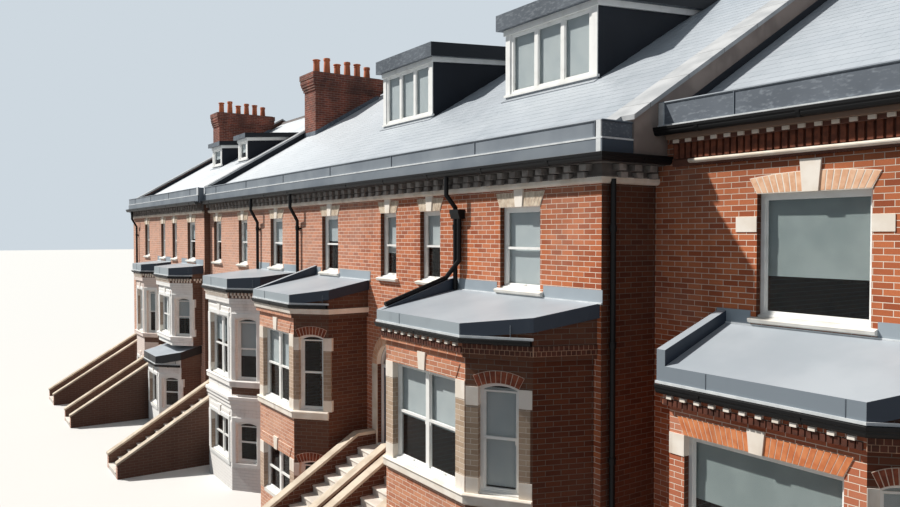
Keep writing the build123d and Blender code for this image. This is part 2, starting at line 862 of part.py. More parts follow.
def build_dormers():
    """Dormers with cheeks, a boarded front, the window, and a roof that falls forward with a fascia."""
    for house in houses:
        if not house.dormer:
            continue
        left, right, (foot, sill, head) = dormer_sides(house)
        apex = dormer_meets(head)
        side = [(dormer_front, foot), (apex, roof_top(apex)), (dormer_front, head)]
        for x0 in (left, right - dormer_cheek):
            keep("dormer_cheeks", across(side, x0, x0 + dormer_cheek))
        x0 = left + dormer_cheek
        x1 = right - dormer_cheek
        y1 = dormer_front + dormer_cheek
        panel = across([(dormer_front, foot), (y1, roof_top(y1)), (y1, dormer_plane(head, y1)),
                        (dormer_front, head)], x0, x1)
        lights = 3 if x1 - x0 > dormer_three_lights else 1
        window = Opening(face_of((0, dormer_front), (row_right, dormer_front)), (left + right) / 2,
                         x1 - x0 - 2 * dormer_post, sill, head - dormer_head, 0, lights, 1)
        outline = area(window.left, window.right, window.sill, window.head)
        hole = layer(outline, -dormer_cheek - 1, 1)
        keep("dormer_fronts", panel - window.place(hole))
        for pane in window.lights():
            outline -= pane
            low = -dormer_glass_inset - glass_depth
            keep("dormer_glass", window.place(layer(pane, low, -dormer_glass_inset)))
        low = -dormer_frame_inset - dormer_frame_depth
        keep("dormer_frames", window.place(layer(outline, low, -dormer_frame_inset)))
        reach = dormer_roof_reach
        edge = dormer_front - reach
        top = head + house.dormer.edge
        keep("dormer_roofs", across([(edge, dormer_plane(head, edge)), (apex, roof_top(apex)),
                                     (dormer_meets(top), roof_top(dormer_meets(top))),
                                     (edge, dormer_plane(top, edge))], left - reach, right + reach))
        ring = band([(left, apex), (left, dormer_front), (right, dormer_front), (right, apex)],
                    0, dormer_fascia_depth, foot, dormer_plane(head, apex) + 1)
        low = head - dormer_fascia_height
        strip = across([(y, dormer_plane(level, y)) for y, level in
                        ((edge, low), (apex, low), (apex, head), (edge, head))], left - reach, right + reach)
        keep("dormer_fascias", (ring & strip) - slope_under(left - reach, right + reach, False))


def build_eaves():
    """Stepped stone cornice, lead-clad upstand and black gutter along each stretch of eaves."""
    corner = terrace_left + fire_wall / 2
    runs = [
        ([(0, -pair_forward), (corner, -pair_forward)],
         None, cornice_top, cornice_courses, upstand_height, None),
        ([(corner, 0), (terrace_right, 0), (terrace_right, end_set_back)],
         None, cornice_top, cornice_courses, upstand_height, return_start),
        ([(terrace_right + return_corbel, end_set_back), (row_right, end_set_back)],
         terrace_right + end_cornice_start, end_cornice_top, end_cornice_courses, end_upstand_height, None),
    ]
    for path, stone_start, top, courses, rise, upstand_end in runs:
        foot = top - courses[-1][1]
        stone_path = path if stone_start is None else [(stone_start, path[0][1]), path[1]]
        cornice = None
        for low, high, reach in courses:
            course = band(stone_path, 0, reach, foot + low, foot + high)
            cornice = course if cornice is None else cornice + course
        keep("cornices", cornice)
        line = path if upstand_end is None else path[:2] + [(path[2][0], upstand_end)]
        keep("eaves_upstands", band(line, 0, upstand_depth, top, top + rise))
        inner = courses[-1][2]
        outer = inner + gutter_width
        z0 = top - gutter_drop
        z1 = z0 + gutter_depth
        trough = band(path, inner, outer, z0, z1)
        trough -= band(path, inner + gutter_wall, outer - gutter_wall, z0 + gutter_wall, z1 + 1)
        keep("eaves_gutters", trough)


def build_bays():
    """Each bay's four brick walls with mitred corners, its sill band and frieze, and its roof."""
    for house in houses:
        for bay in house.bays:
            path = bay_path(house, bay)
            inner = bay_inner(house, path)
            for index, name in enumerate(("bay_left_sides", "bay_fronts", "bay_cants", "bay_returns")):
                corners = [path[index], path[index + 1], inner[index + 1], inner[index]]
                panel = upright(corners, bay.foot, bay.head)
                cuts = []
                for side, opening in bay_openings(house, bay):
                    if name == f"bay_{side}s":
                        cuts += [opening.hole(bay_wall + 1), build_bay_window(side, opening)]
                keep(name, panel - cuts if cuts else panel)
            if "hall" in bay.storeys:
                foot = bay.sill - bay_band_height
                keep("bay_sill_bands", band(path[1:4], 0, bay_band_reach, foot, bay.sill))
            build_bay_roof(house, bay, path)


def bay_inner(house, path):
    """The plan corners of a bay's inner faces, the last where a splayed return meets the street wall."""
    inner = shifted(path, bay_wall)
    run = (path[4][0] - path[3][0], path[4][1] - path[3][1])
    slip = bay_wall * (math.hypot(*run) / run[1] - run[1] / math.hypot(*run))
    inner[-1] = (inner[-1][0] - slip, house.face)
    return inner


def build_bay_window(side, opening):
    """One bay window's stonework, frame, glass and sill, giving back the pocket for its arch."""
    arch, key, pocket = opening.arch_pieces(side == "front")
    keep("bay_arches", opening.place(arch))
    if key is not None:
        keep("keystones", opening.place(key))
    keep("bay_frames", opening.frame())
    keep("bay_glass", opening.glass())
    stone = area(opening.left, opening.right, opening.sill - sill_height, opening.sill)
    keep("bay_sills", opening.place(layer(stone, -frame_inset - frame_depth, 0)))
    return opening.place(pocket)


def build_bay_roof(house, bay, path):
    """The frieze up to the sloping lead roof, the roof with its kerb, and the gutter along its edge."""
    edge, under_edge, under_wall, top_edge, top_wall = bay_roof_line(house, bay)
    tall = top_wall + bay_kerb_rise
    outline = shifted(path, -bay_frieze_reach)
    outline[0] = (outline[0][0], house.face)
    outline[-1] = (outline[-1][0], house.face)
    frieze = across([(edge, bay.head), (house.face, bay.head), (house.face, under_wall), (edge, under_edge)],
                    outline[0][0] - 1, outline[-1][0] + 1)
    keep("bay_friezes", upright(outline, bay.head, tall) & frieze)
    outline = shifted(path, -bay_roof_reach)
    outline[0] = (outline[0][0], house.face)
    outline[-1] = (outline[-1][0], house.face)
    left = outline[0][0]
    right = max(point[0] for point in outline)
    shell = upright(outline, bay.eaves, tall)
    slab = across([(edge, under_edge), (house.face, under_wall), (house.face, top_wall), (edge, top_edge)],
                  left, right)
    roof = shell & slab
    low, high = bay.kerb
    if high:
        profile = [(edge, top_edge), (house.face, top_wall), (house.face, top_wall + high)]
        if low:
            profile.append((edge, top_edge + low))
        roof += across(profile, left, left + bay_kerb_width)
    keep("bay_roofs", roof)
    line = [(path[1][0] - bay_roof_reach, path[1][1]), path[2], path[3]]
    z1 = bay.eaves
    z0 = z1 - bay_gutter_depth
    outer = bay_frieze_reach + gutter_width
    trough = band(line, bay_frieze_reach, outer, z0, z1)
    trough -= band(line, bay_frieze_reach + gutter_wall, outer - gutter_wall, z0 + gutter_wall, z1 + 1)
    keep("bay_gutters", trough)


def build_steps():
    """Each hall door's flight of stone steps between two brick wing walls with stone copings."""
    rise = hall_floor / step_count
    for house in houses:
        y = house.face
        centre = house.at(house.door)
        x0 = centre - flight_width / 2
        x1 = centre + flight_width / 2
        brow = y - landing_depth
        keep("landings", block(x0, x1, brow, y, 0, hall_floor))
        near_edge = brow
        for number in range(1, step_count):
            name = "steps_odd" if number % 2 else "steps_even"
            keep(name, block(x0, x1, near_edge - step_going, near_edge, 0, hall_floor - number * rise))
            near_edge -= step_going
        slope = rise / step_going
        low = rise + wing_rise
        high = hall_floor + wing_rise
        over = wing_coping_overhang
        cope = [(near_edge - over, low - slope * over), (brow, high), (y, high), (y, high + wing_coping),
                (brow, high + wing_coping), (near_edge - over, low - slope * over + wing_coping)]
        profile = [(near_edge, 0), (y, 0), (y, high), (brow, high), (near_edge, low)]
        for w0, w1 in ((x0 - wing_width, x0), (x1, x1 + wing_width)):
            keep("wing_walls", across(profile, w0, w1))
            keep("wing_copings", across(cope, w0 - over, w1 + over))


def bay_roof_over(house, bay, y):
    """Height of a bay's roof at y."""
    edge, _, _, top_edge, _ = bay_roof_line(house, bay)
    return top_edge + bay.slope * (y - edge)


def build_pipes():
    """Black rainwater pipes from the eaves gutters, ending on the ground or on a bay's roof."""
    for house in houses:
        out = house.face - cornice_courses[-1][2] - gutter_width / 2
        wall_line = house.face - pipe_radius - pipe_clear
        for share in house.pipes:
            x = house.at(share)
            foot = 0
            for bay in house.bays:
                path = bay_path(house, bay)
                if path[0][0] < x < path[-1][0]:
                    foot = bay_roof_over(house, bay, house.face - pipe_clear)
            keep("downpipes", pipe(neck(x, out, wall_line) + [(x, wall_line, foot)]))
    keep("downpipes", pipe([(terrace_right + pipe_clear + pipe_radius, return_pipe, z)
                            for z in (cornice_top - cornice_courses[-1][1], 0)]))
    build_hopper()


def neck(x, out, wall_line):
    """Where a pipe leaves the eaves gutter and passes under the cornice to the wall."""
    top = cornice_top - gutter_drop
    return [(x, out, top), (x, out, top - neck_drop), (x, wall_line, top - neck_foot)]


def build_hopper():
    """The hopper over the near house's bay, its outlet pipe, and the branch that lies on the kerb."""
    bay = near.bays[0]
    left = bay_path(near, bay)[0][0]
    x = left + pipe_radius + pipe_clear
    wall_line = -pipe_radius - pipe_clear
    foot = hopper_top - hopper_height
    profile = [(0, foot), (wall_line - pipe_radius, foot), (-hopper_reach, hopper_top - hopper_height / 3),
               (-hopper_reach, hopper_top), (0, hopper_top)]
    keep("downpipes", across(profile, x - hopper_reach / 2, x + branch_offset + hopper_reach / 2))
    out = -cornice_courses[-1][2] - gutter_width / 2
    top = cornice_top - gutter_drop
    keep("downpipes", pipe([(x, out, top), (x, out, top - neck_drop),
                            (x, wall_line, hopper_top + pipe_clear), (x, wall_line, hopper_top)]))
    keep("downpipes", pipe([(x, wall_line, foot), (x, wall_line, bay_roof_over(near, bay, -pipe_clear))]))
    branch = x + branch_offset
    edge, _, _, top_edge, top_wall = bay_roof_line(near, bay)
    kerb_slope = (top_wall + bay_kerb_rise - top_edge) / -edge
    lift = pipe_radius * math.hypot(1, kerb_slope) + branch_rest
    rest = left - bay_roof_reach + bay_kerb_width / 2
    knee = -hopper_reach - pipe_radius
    tip = edge * branch_end_share
    keep("downpipes", pipe([(branch, wall_line, foot), (branch, wall_line, branch_turn),
                            (rest, knee, top_edge + kerb_slope * (knee - edge) + lift),
                            (rest, tip, top_edge + kerb_slope * (tip - edge) + lift)]))


def pipe(points):
    """A round pipe along straight runs."""
    line = Polyline(*points)
    start = Plane(origin=points[0], z_dir=Vector(*points[1]) - Vector(*points[0]))
    return sweep(start * Circle(pipe_radius), path=line, transition=Transition.RIGHT)


build_walls()
build_floors()
build_fire_walls()
build_roofs()
build_dormers()
build_eaves()
build_bays()
build_steps()
build_pipes()

whole = Compound([solid for solids in nodes.values() for solid in solids]).bounding_box()
centre = Pos(-whole.center().X, -whole.center().Y, -whole.min.Z)
os.makedirs("parts", exist_ok=True)
for name, solids in nodes.items():
    export_step(centre * Compound(solids), f"parts/{name}.step")
print("size", whole.size, "moved by", -whole.center().X, -whole.center().Y, "nodes", len(nodes))
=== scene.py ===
import math

import bpy
import numpy as np
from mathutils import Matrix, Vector


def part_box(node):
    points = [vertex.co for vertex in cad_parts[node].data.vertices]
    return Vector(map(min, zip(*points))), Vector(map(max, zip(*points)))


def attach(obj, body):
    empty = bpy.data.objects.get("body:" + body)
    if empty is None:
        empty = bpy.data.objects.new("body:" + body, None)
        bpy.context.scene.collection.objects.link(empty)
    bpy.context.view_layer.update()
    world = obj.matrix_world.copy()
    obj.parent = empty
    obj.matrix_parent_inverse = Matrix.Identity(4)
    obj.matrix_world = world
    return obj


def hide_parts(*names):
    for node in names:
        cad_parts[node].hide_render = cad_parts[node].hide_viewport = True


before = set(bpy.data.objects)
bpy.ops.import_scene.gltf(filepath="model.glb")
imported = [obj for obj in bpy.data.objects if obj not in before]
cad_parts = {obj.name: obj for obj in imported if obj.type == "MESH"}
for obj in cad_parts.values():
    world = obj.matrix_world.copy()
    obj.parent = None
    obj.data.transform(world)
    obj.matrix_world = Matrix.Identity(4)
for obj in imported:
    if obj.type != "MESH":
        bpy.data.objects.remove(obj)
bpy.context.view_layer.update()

# Brick walls. Soft red facing bricks in pale lime mortar, laid by hand in stretcher courses and weathered,
# with painted shade under the eaves and on the sides that face right. The bays of three houses are painted.
# Distances along the row start at its left end, and distances back start at the terrace's street face.
pair_forward = 0.22
brick_length = 0.250
brick_height = 0.074
mortar_joint = 0.012
terrace_end = 32.2
row_end = 39.0
# Painted shade on the brick: walls grow darker up to this height under the eaves, and the sides that face
# right are darkened by the share below.
eaves_shade_top = 8.2
right_side_shade = 0.80
room_side = 0.05
room_front = 0.35
room_back = 14.65
end_room_front = 1.57
room_top = 8.9
painted_bays = ((4.4, 7.6, (236, 222, 214)), (8.3, 11.9, (252, 251, 248)), (16.0, 20.3, (250, 247, 243)))
painted_below = 6.2
bare_frieze = (5.50, 5.75)
bare_course = (2.76, 2.98)
row_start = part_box("fire_walls")[0][0]
street_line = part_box("front_walls")[0][1] + pair_forward
end_line = row_start + terrace_end


def shade(colour):
    """A screen colour of 0 to 255 as light: its share of 255 plus 0.055, over 1.055, to the power 2.4."""
    return tuple(((c / 255 + 0.055) / 1.055) ** 2.4 for c in colour) + (1.0,)


def operator(operation, flipped=False):
    """A method that adds one Math node. Where it is flipped, the wire is the node's second value."""
    def method(self, other):
        """One Math node on this wire and another wire or number."""
        return self.finish.maths(operation, *((other, self) if flipped else (self, other)))
    return method


class Wire:
    """One output of a node. Sums, products and comparisons of wires and numbers add Math nodes."""

    __add__ = operator("ADD")
    __radd__ = operator("ADD", flipped=True)
    __sub__ = operator("SUBTRACT")
    __rsub__ = operator("SUBTRACT", flipped=True)
    __mul__ = operator("MULTIPLY")
    __rmul__ = operator("MULTIPLY", flipped=True)
    __truediv__ = operator("DIVIDE")
    __gt__ = operator("GREATER_THAN")
    __lt__ = operator("LESS_THAN")

    def __init__(self, finish, socket):
        self.finish = finish
        self.socket = socket

    def within(self, low, high):
        """1 between two numbers and 0 outside them."""
        return (self > low) * (self < high)

    def ramp(self, low, high):
        """Rises smoothly from 0 at low to 1 at high, or falls where low is the larger."""
        values = {"Value": self, "From Min": min(low, high), "From Max": max(low, high),
                  "To Min": float(low > high), "To Max": float(low < high)}
        return self.finish.node("ShaderNodeMapRange", {"interpolation_type": "SMOOTHSTEP"}, values)

    def seam(self, spacing, half_width):
        """1 where the nearest multiple of the spacing is closer than the half width."""
        return self.finish.maths("PINGPONG", self, spacing / 2) < half_width

    def part(self, axis):
        """One component of a vector: 0 for x, 1 for y, 2 for z."""
        return self.finish.node("ShaderNodeSeparateXYZ", {}, {0: self}, axis)


class Finish:
    """A material being made, or the sky. Colours that are given as numbers are screen colours."""

    def __init__(self, name, owner=None):
        self.material = owner or bpy.data.materials.new(name)
        self.material.use_nodes = True
        self.tree = self.material.node_tree
        self.tree.nodes.clear()
        self.point = self.node("ShaderNodeTexCoord", output="Object")

    @property
    def normal(self):
        """The direction that a face looks in."""
        return self.node("ShaderNodeNewGeometry", output="True Normal")

    def node(self, kind, settings=None, inputs=None, output=0):
        """Adds any node, with its settings and its sockets' values or wires, and gives back one output."""
        node = self.tree.nodes.new(kind)
        for name, value in (settings or {}).items():
            setattr(node, name, value)
        for name, value in (inputs or {}).items():
            if isinstance(value, Wire):
                self.tree.links.new(value.socket, node.inputs[name])
            else:
                node.inputs[name].default_value = value
        return Wire(self, node.outputs[output]) if node.outputs else None

    def maths(self, operation, *terms):
        """One Math node on wires and numbers."""
        return self.node("ShaderNodeMath", {"operation": operation}, dict(enumerate(terms)))

    def vectors(self, operation, first, second, output=0):
        """One Vector Math node."""
        return self.node("ShaderNodeVectorMath", {"operation": operation}, {0: first, 1: second}, output)

    def mix(self, factor, first, second):
        """Two colours mixed: the first where the factor is 0, the second where it is 1."""
        tones = [tone if isinstance(tone, Wire) else shade(tone) for tone in (first, second)]
        return self.node("ShaderNodeMix", {"data_type": "RGBA"}, {0: factor, 6: tones[0], 7: tones[1]}, 2)

    def noise(self, scale, detail=2.0, stretch=None):
        """Soft noise from 0 to 1 on the object's coordinates, which may first be multiplied by a stretch."""
        place = self.vectors("MULTIPLY", self.point, stretch) if stretch else self.point
        return self.node("ShaderNodeTexNoise", {}, {"Vector": place, "Scale": scale, "Detail": detail})

    def along(self):
        """Distance along any upright wall: the point times the wall's level direction."""
        level = self.vectors("CROSS_PRODUCT", (0, 0, 1), self.normal)
        return self.vectors("DOT_PRODUCT", self.point, level, "Value")

    def done(self, colour, roughness, bump=None, depth=0.003, **constants):
        """Closes the material: what varies is linked, and what is constant is set on the shader itself."""
        inputs = {"Base Color": colour, "Roughness": roughness}
        if bump is not None:
            inputs["Normal"] = self.node("ShaderNodeBump", {}, {"Height": bump, "Distance": depth})
        inputs.update({name.replace("_", " "): value for name, value in constants.items()})
        shader = self.node("ShaderNodeBsdfPrincipled", {}, inputs)
        self.node("ShaderNodeOutputMaterial", {}, {"Surface": shader})
        return self.material


def dress(material, *nodes):
    """Gives CAD nodes their material, in the slots that they have."""
    for node in nodes:
        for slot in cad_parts[node].material_slots:
            slot.material = material


def coated(finish, tone, worn):
    """House paint over whatever lies below, on the stretches of the row that are painted, but not on the
    frieze under the bay's eaves, the courses below the canted window, nor the bay's return."""
    x = finish.point.part(0)
    z = finish.point.part(2)
    right = finish.normal.part(0)
    painted = (z < painted_below) * (1 - z.within(*bare_frieze)) * (right < 0.9)
    painted = painted * (1 - z.within(*bare_course) * (right > 0.3))
    for start, end, paint in painted_bays:
        coat = finish.mix(worn, paint, (172, 166, 158))
        tone = finish.mix(painted * x.within(row_start + start, row_start + end), tone, coat)
    return tone


def coursed(finish, light, dark, bed, bias):
    """Rows of bricks shifted by half, each of its own tone, and the mask of the joints between them."""
    spot = finish.node("ShaderNodeCombineXYZ", {}, {0: finish.along(), 1: finish.point.part(2)})
    values = {"Vector": spot, "Color1": shade(light), "Color2": shade(dark), "Mortar": bed, "Scale": 1.0,
              "Mortar Size": mortar_joint / 2, "Mortar Smooth": 0.35, "Bias": bias,
              "Brick Width": brick_length + mortar_joint, "Row Height": brick_height + mortar_joint}
    pattern = finish.node("ShaderNodeTexBrick", {}, values)
    return pattern, Wire(finish, pattern.socket.node.outputs["Fac"])


def brick(name, light, dark, mortar_tone, painted=False, bedded=None, dark_share=right_side_shade):
    """Brickwork with mortar sunk between the bricks. It is paler to the left, and painted shade darkens it
    under the eaves, on the sides that face right and inside the rooms. Where arches are bedded over it, the
    canted sides and the end house show the bed's tone instead."""
    finish = Finish(name)
    x, y, z = [finish.point.part(axis) for axis in range(3)]
    pattern, joint = coursed(finish, light, dark, (0, 0, 0, 1), -0.15)
    grain = finish.noise(90.0, 3.0)
    weather = finish.noise(0.55, 3.0)
    streak = finish.noise(2.2, 3.0, stretch=(1.0, 1.0, 0.16))
    tone = finish.mix((grain - 0.5) * 0.5 + 0.12, pattern, (88, 40, 28))
    if painted:
        tone = finish.mix((x > end_line) * 0.55, tone, (178, 86, 52))
    tone = finish.mix(joint, tone, mortar_tone)
    tone = finish.mix(weather.ramp(0.45, 0.75) * 0.22, tone, (226, 190, 168))
    # Painted shade: the walls grow darker towards the eaves.
    darkening = z.ramp(eaves_shade_top - 0.9, eaves_shade_top) * 0.25
    normal = finish.normal
    turned = normal.part(0).ramp(0.3, 0.6)
    if bedded:
        turned = turned * (normal.part(1) < -0.1)
    tone = finish.mix(x.ramp(row_start + 30.0, row_start + 14.0) * 0.42, tone, (238, 208, 190))
    # The streaks are weathering; the darkening towards the eaves added to them is painted shade.
    tone = finish.mix(streak.ramp(0.5, 0.8) * 0.2 + darkening, tone, (70, 48, 40))
    # Painted shade: the sides that face right are darkened.
    tone = finish.mix(turned * dark_share, tone, (34, 20, 16))
    if bedded:
        tone = finish.mix(turned + (x > end_line), tone, bedded)
    # Painted shade: the walls inside the rooms are dark.
    back = street_line + room_back
    inside = x.within(row_start + room_side, end_line - room_side) * y.within(street_line + room_front, back)
    end_room = x.within(end_line + room_side, row_start + row_end - room_side)
    inside = inside + end_room * y.within(street_line + end_room_front, back)
    tone = finish.mix(inside * (z < room_top), tone, (32, 28, 25))
    if painted:
        tone = coated(finish, tone, streak.ramp(0.52, 0.78) * 0.3 + joint * 0.25)
    return finish.done(tone, 0.86 - joint * 0.04, grain * 0.25 - joint, 0.004, Specular_IOR_Level=0.2)


brick_dark = (156, 78, 50)
mortar = (242, 224, 206)
pale_bricks = ((222, 156, 122), (186, 116, 88))
dress(brick("wall_brick", (208, 122, 80), brick_dark, mortar),
      "front_walls", "rear_walls", "party_walls", "fire_walls", "bay_returns")
dress(brick("bay_brick", *pale_bricks, mortar, painted=True),
      "bay_fronts", "bay_cants", "bay_left_sides", "bay_friezes")

# Gauged arches over the windows and doors. Pale voussoirs cut to a taper over the terrace's upper windows,
# orange rubbed bricks elsewhere, each laid with a thin bed of white putty. The mortar body of each arch is
# the frame's own solid, and the voussoirs stand a few millimetres proud of it.
frame_inset = 0.10
arch_depth = 0.26
arch_splay = 0.12
arch_proud = 0.012
voussoir_proud = 0.003
bed_overlap = 0.002
keystone_width = 0.19
keystone_taper = 1.35
keystone_rise = 0.05
end_arch_depth = 0.225
end_arch_camber = 0.065
end_keystone_width = 0.23
end_keystone_rise = 0.155
cant_arch_depth = 0.20
cant_rise_share = 0.115
cant_voussoirs = 9
door_arch_depth = 0.225
door_arch_proud = 0.020
door_voussoirs = 19
pale_voussoir_width = 0.10
brick_voussoir_width = 0.105
wide_voussoir = 0.085
putty_joint = 0.012
wide_joint = 0.020


class Face:
    """A flat side of the building. Its points are origin + u times along + v times up + w times out."""

    def __init__(self, origin, along, up=(0, 0, 1)):
        self.origin = np.array(origin, float)
        self.along = np.array(along, float)
        self.up = np.array(up, float)
        self.out = np.cross(self.along, self.up)
        self.width = 0.0
        self.height = 0.0

    def at(self, u, v, w):
        """The points at the distances u, v and w: numbers or arrays that spread over one another."""
        u, v, w = np.broadcast_arrays(u, v, w)
        return self.origin + u[..., None] * self.along + v[..., None] * self.up + w[..., None] * self.out


def solids(node):
    """The loose solids of a CAD node, from left to right, each as an array of points: equal corners are
    joined, and every triangle lowers its corners' labels to their least until nothing changes."""
    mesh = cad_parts[node].data
    points = np.empty(len(mesh.vertices) * 3)
    mesh.vertices.foreach_get("co", points)
    points = points.reshape(-1, 3)
    corners = np.empty(len(mesh.loops), int)
    mesh.loops.foreach_get("vertex_index", corners)
    ids = np.unique(points.round(4), axis=0, return_inverse=True)[1].ravel()
    triangles = ids[corners].reshape(-1, 3)
    labels = np.arange(ids.max() + 1)
    while True:
        least = labels.copy()
        np.minimum.at(least, triangles, labels[triangles].min(axis=1, keepdims=True))
        if (least == labels).all():
            break
        labels = least
    groups = [points[labels[ids] == label] for label in np.unique(labels)]
    return sorted(groups, key=lambda group: (group[:, 0].min().round(3), group[:, 2].min()))


def seats(node, side=1, inset=frame_inset):
    """Each solid of a window node as the face of its opening: the origin is the lowest left corner, seen
    from outside, on the wall's outer face. The long direction of the plan is the wall's direction."""
    result = []
    for points in solids(node):
        plan = points[:, :2] - points[:, :2].mean(axis=0)
        direction = np.linalg.svd(plan.T @ plan)[0][:, 0]
        direction *= side * np.sign(direction[0])
        direction[abs(direction) < 1e-3] = 0
        face = Face((0, 0, 0), (*direction, 0))
        u = points @ face.along
        w = points @ face.out
        face.origin = u.min() * face.along + (w.max() + inset) * face.out + points[:, 2].min() * face.up
        face.width = np.ptp(u)
        face.height = np.ptp(points[:, 2])
        result.append(face)
    return result


def is_cant(face):
    """Whether a bay's window stands on the canted side: its wall then runs back as well as along."""
    return abs(face.along[1]) > 0.1


def in_end_house(face):
    """Whether an opening lies to the right of the terrace's end."""
    return face.origin[0] > end_line


def prisms(face, outlines, back, front):
    """Blocks on a face: each has its outline, given anticlockwise seen from outside, at a back and a front
    distance, and sides that join neighbouring corners."""
    outlines = np.asarray(outlines, float)
    count, corners = outlines.shape[:2]
    rings = []
    for depth in (back, front):
        depth = depth if np.ndim(depth) == 2 else np.reshape(depth, (-1, 1))
        rings.append(face.at(outlines[..., 0], outlines[..., 1], np.broadcast_to(depth, (count, corners))))
    turn = np.arange(corners)
    after = (turn + 1) % corners
    sides = np.stack([turn, after, corners + after, corners + turn], axis=1)
    ends = np.stack([turn[::-1], corners + turn])
    first = np.arange(count)[:, None, None] * 2 * corners
    return np.stack(rings, axis=1), [(first + sides).reshape(-1, 4), (first + ends).reshape(-1, corners)]


def piece(name, parts, material, stands_for=()):
    """One object from parts of points and face arrays, at the origin, riding on the building."""
    points = []
    faces = []
    start = 0
    for spots, groups in parts:
        points.append(spots.reshape(-1, 3))
        for group in groups:
            faces += (group + start).tolist()
        start += len(points[-1])
    mesh = bpy.data.meshes.new(name)
    mesh.from_pydata(np.concatenate(points).tolist(), [], faces)
    mesh.materials.append(material)
    obj = bpy.data.objects.new(name, mesh)
    bpy.context.collection.objects.link(obj)
    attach(obj, "root")
    if stands_for:
        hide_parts(*stands_for)
    return obj


def flat_arch(face, pitch, depth=arch_depth, camber=0.0, key_width=keystone_width, key_rise=keystone_rise,
              joint=putty_joint):
    """Voussoirs of a straight arch: joints run from equal steps along the head to equal steps along the
    wider top, which rises in a parabola where the arch is cambered. The keystone's place stays free."""
    half = face.width / 2
    key = key_width / 2
    key_top = key * keystone_taper * depth / (depth + camber + key_rise)
    key_top += key * (1 - depth / (depth + key_rise))
    steps = np.linspace(0, 1, max(3, round(half / pitch)) + 1)
    low = key + (half - key) * steps
    high = key_top + (half + arch_splay - key_top) * steps
    crown = face.height + depth + camber * (1 - (high / (half + arch_splay)) ** 2)
    gap = joint / 2
    head = np.full(len(steps) - 1, face.height + gap)
    outlines = []
    for side in (-1, 1):
        ring = [(half + side * (low[:-1] + gap), head), (half + side * (low[1:] - gap), head),
                (half + side * (high[1:] - gap), crown[1:] - gap),
                (half + side * (high[:-1] + gap), crown[:-1] - gap)]
        outlines.append(np.stack([np.stack(corner, axis=-1) for corner in ring[::side]], axis=-2))
    return prisms(face, np.concatenate(outlines), arch_proud - bed_overlap, arch_proud + voussoir_proud)


def round_arch(face, rise, depth, count, proud):
    """Voussoirs of a segmental or round arch: equal turns about the arc's centre, between two radii."""
    half = face.width / 2
    radius = (half * half + rise * rise) / (2 * rise)
    centre = face.height - radius
    reach = math.asin(min(1.0, half / radius))
    turns = np.linspace(-reach, reach, count + 1)
    gap = putty_joint / 2
    inner = gap / radius
    outer = gap / (radius + depth)
    ring = [(radius + gap, turns[1:] - inner), (radius + depth - gap, turns[1:] - outer),
            (radius + depth - gap, turns[:-1] + outer), (radius + gap, turns[:-1] + inner)]
    corners = [(half + far * np.sin(turn), centre + far * np.cos(turn)) for far, turn in ring]
    outlines = np.stack([np.stack(corner, axis=-1) for corner in corners], axis=-2)
    return prisms(face, outlines, proud - bed_overlap, proud + voussoir_proud)


def masonry(name, tone, other, stain, scale=3.0, roughness=0.8, painted=False):
    """Cut stone or rubbed brick: two tones in soft patches, stains in streaks, and a fine tooled grain."""
    finish = Finish(name)
    grain = finish.noise(140.0, 2.0)
    streak = finish.noise(3.0, 4.0, stretch=(1.0, 1.0, 0.2))
    colour = finish.mix(finish.noise(scale, 3.0).ramp(0.35, 0.65), tone, other)
    colour = finish.mix(streak.ramp(0.55, 0.8) * 0.45, colour, stain)
    if painted:
        colour = coated(finish, colour, streak.ramp(0.5, 0.8) * 0.35)
    return finish.done(colour, roughness + grain * 0.1, grain, 0.0012, Specular_IOR_Level=0.3)


upper_windows = seats("window_frames")
bay_windows = seats("bay_frames")
doors = seats("door_frames")
rubbed_brick = masonry("rubbed_brick", (238, 196, 164), (224, 172, 136), (164, 116, 90), 9.0)
bed_mortar = masonry("bed_mortar", (246, 236, 222), (232, 220, 206), (190, 172, 156))
dress(bed_mortar, "window_arches", "door_arches")
dress(brick("bay_heads", *pale_bricks, mortar, painted=True, bedded=(226, 206, 188)), "bay_arches")
end_windows = [face for face in upper_windows if in_end_house(face)]
street_windows = [face for face in upper_windows if not in_end_house(face)]
cants = [face for face in bay_windows if is_cant(face)]
end_bay_fronts = [face for face in bay_windows if in_end_house(face) and not is_cant(face)]
piece("pale_voussoirs", [flat_arch(face, pale_voussoir_width) for face in street_windows],
      masonry("pale_voussoir", (222, 206, 184), (190, 170, 148), (120, 104, 92), 8.0))
end_sizes = (brick_voussoir_width, end_arch_depth, end_arch_camber, end_keystone_width, end_keystone_rise)
piece("brick_voussoirs", [flat_arch(face, *end_sizes, wide_joint) for face in end_windows], rubbed_brick)
# The canted arches are dark brick, darkened with painted shade.
piece("bay_voussoirs", [round_arch(face, face.width * cant_rise_share, cant_arch_depth, cant_voussoirs,
                                   arch_proud) for face in cants],
      masonry("shaded_arch_brick", (150, 82, 58), (120, 62, 44), (70, 40, 32), 9.0, painted=True))
piece("end_bay_voussoirs", [flat_arch(face, wide_voussoir) for face in end_bay_fronts],
      masonry("orange_brick", (220, 140, 92), (200, 116, 72), (150, 86, 58), 9.0))
piece("door_voussoirs", [round_arch(face, face.width / 2, door_arch_depth, door_voussoirs, door_arch_proud)
                         for face in doors],
      rubbed_brick)

# Sills, keystones and bands. Cream limestone, cut with a slight taper and bedded in the brickwork. Sills
# have a weathered top and a rounded nose over a drip, and are painted white.
sill_reach = 0.09
sill_height = 0.09
sill_horn = 0.09
nose_radius = 0.012
drip_depth = 0.018
white_stone = masonry("white_stone", (238, 236, 230), (224, 220, 212), (168, 160, 150))
block_stone = masonry("block_stone", (246, 238, 227), (234, 223, 209), (166, 150, 136), painted=True)
dress(block_stone, "keystones", "bay_sill_bands")
dress(white_stone, "bay_sills")


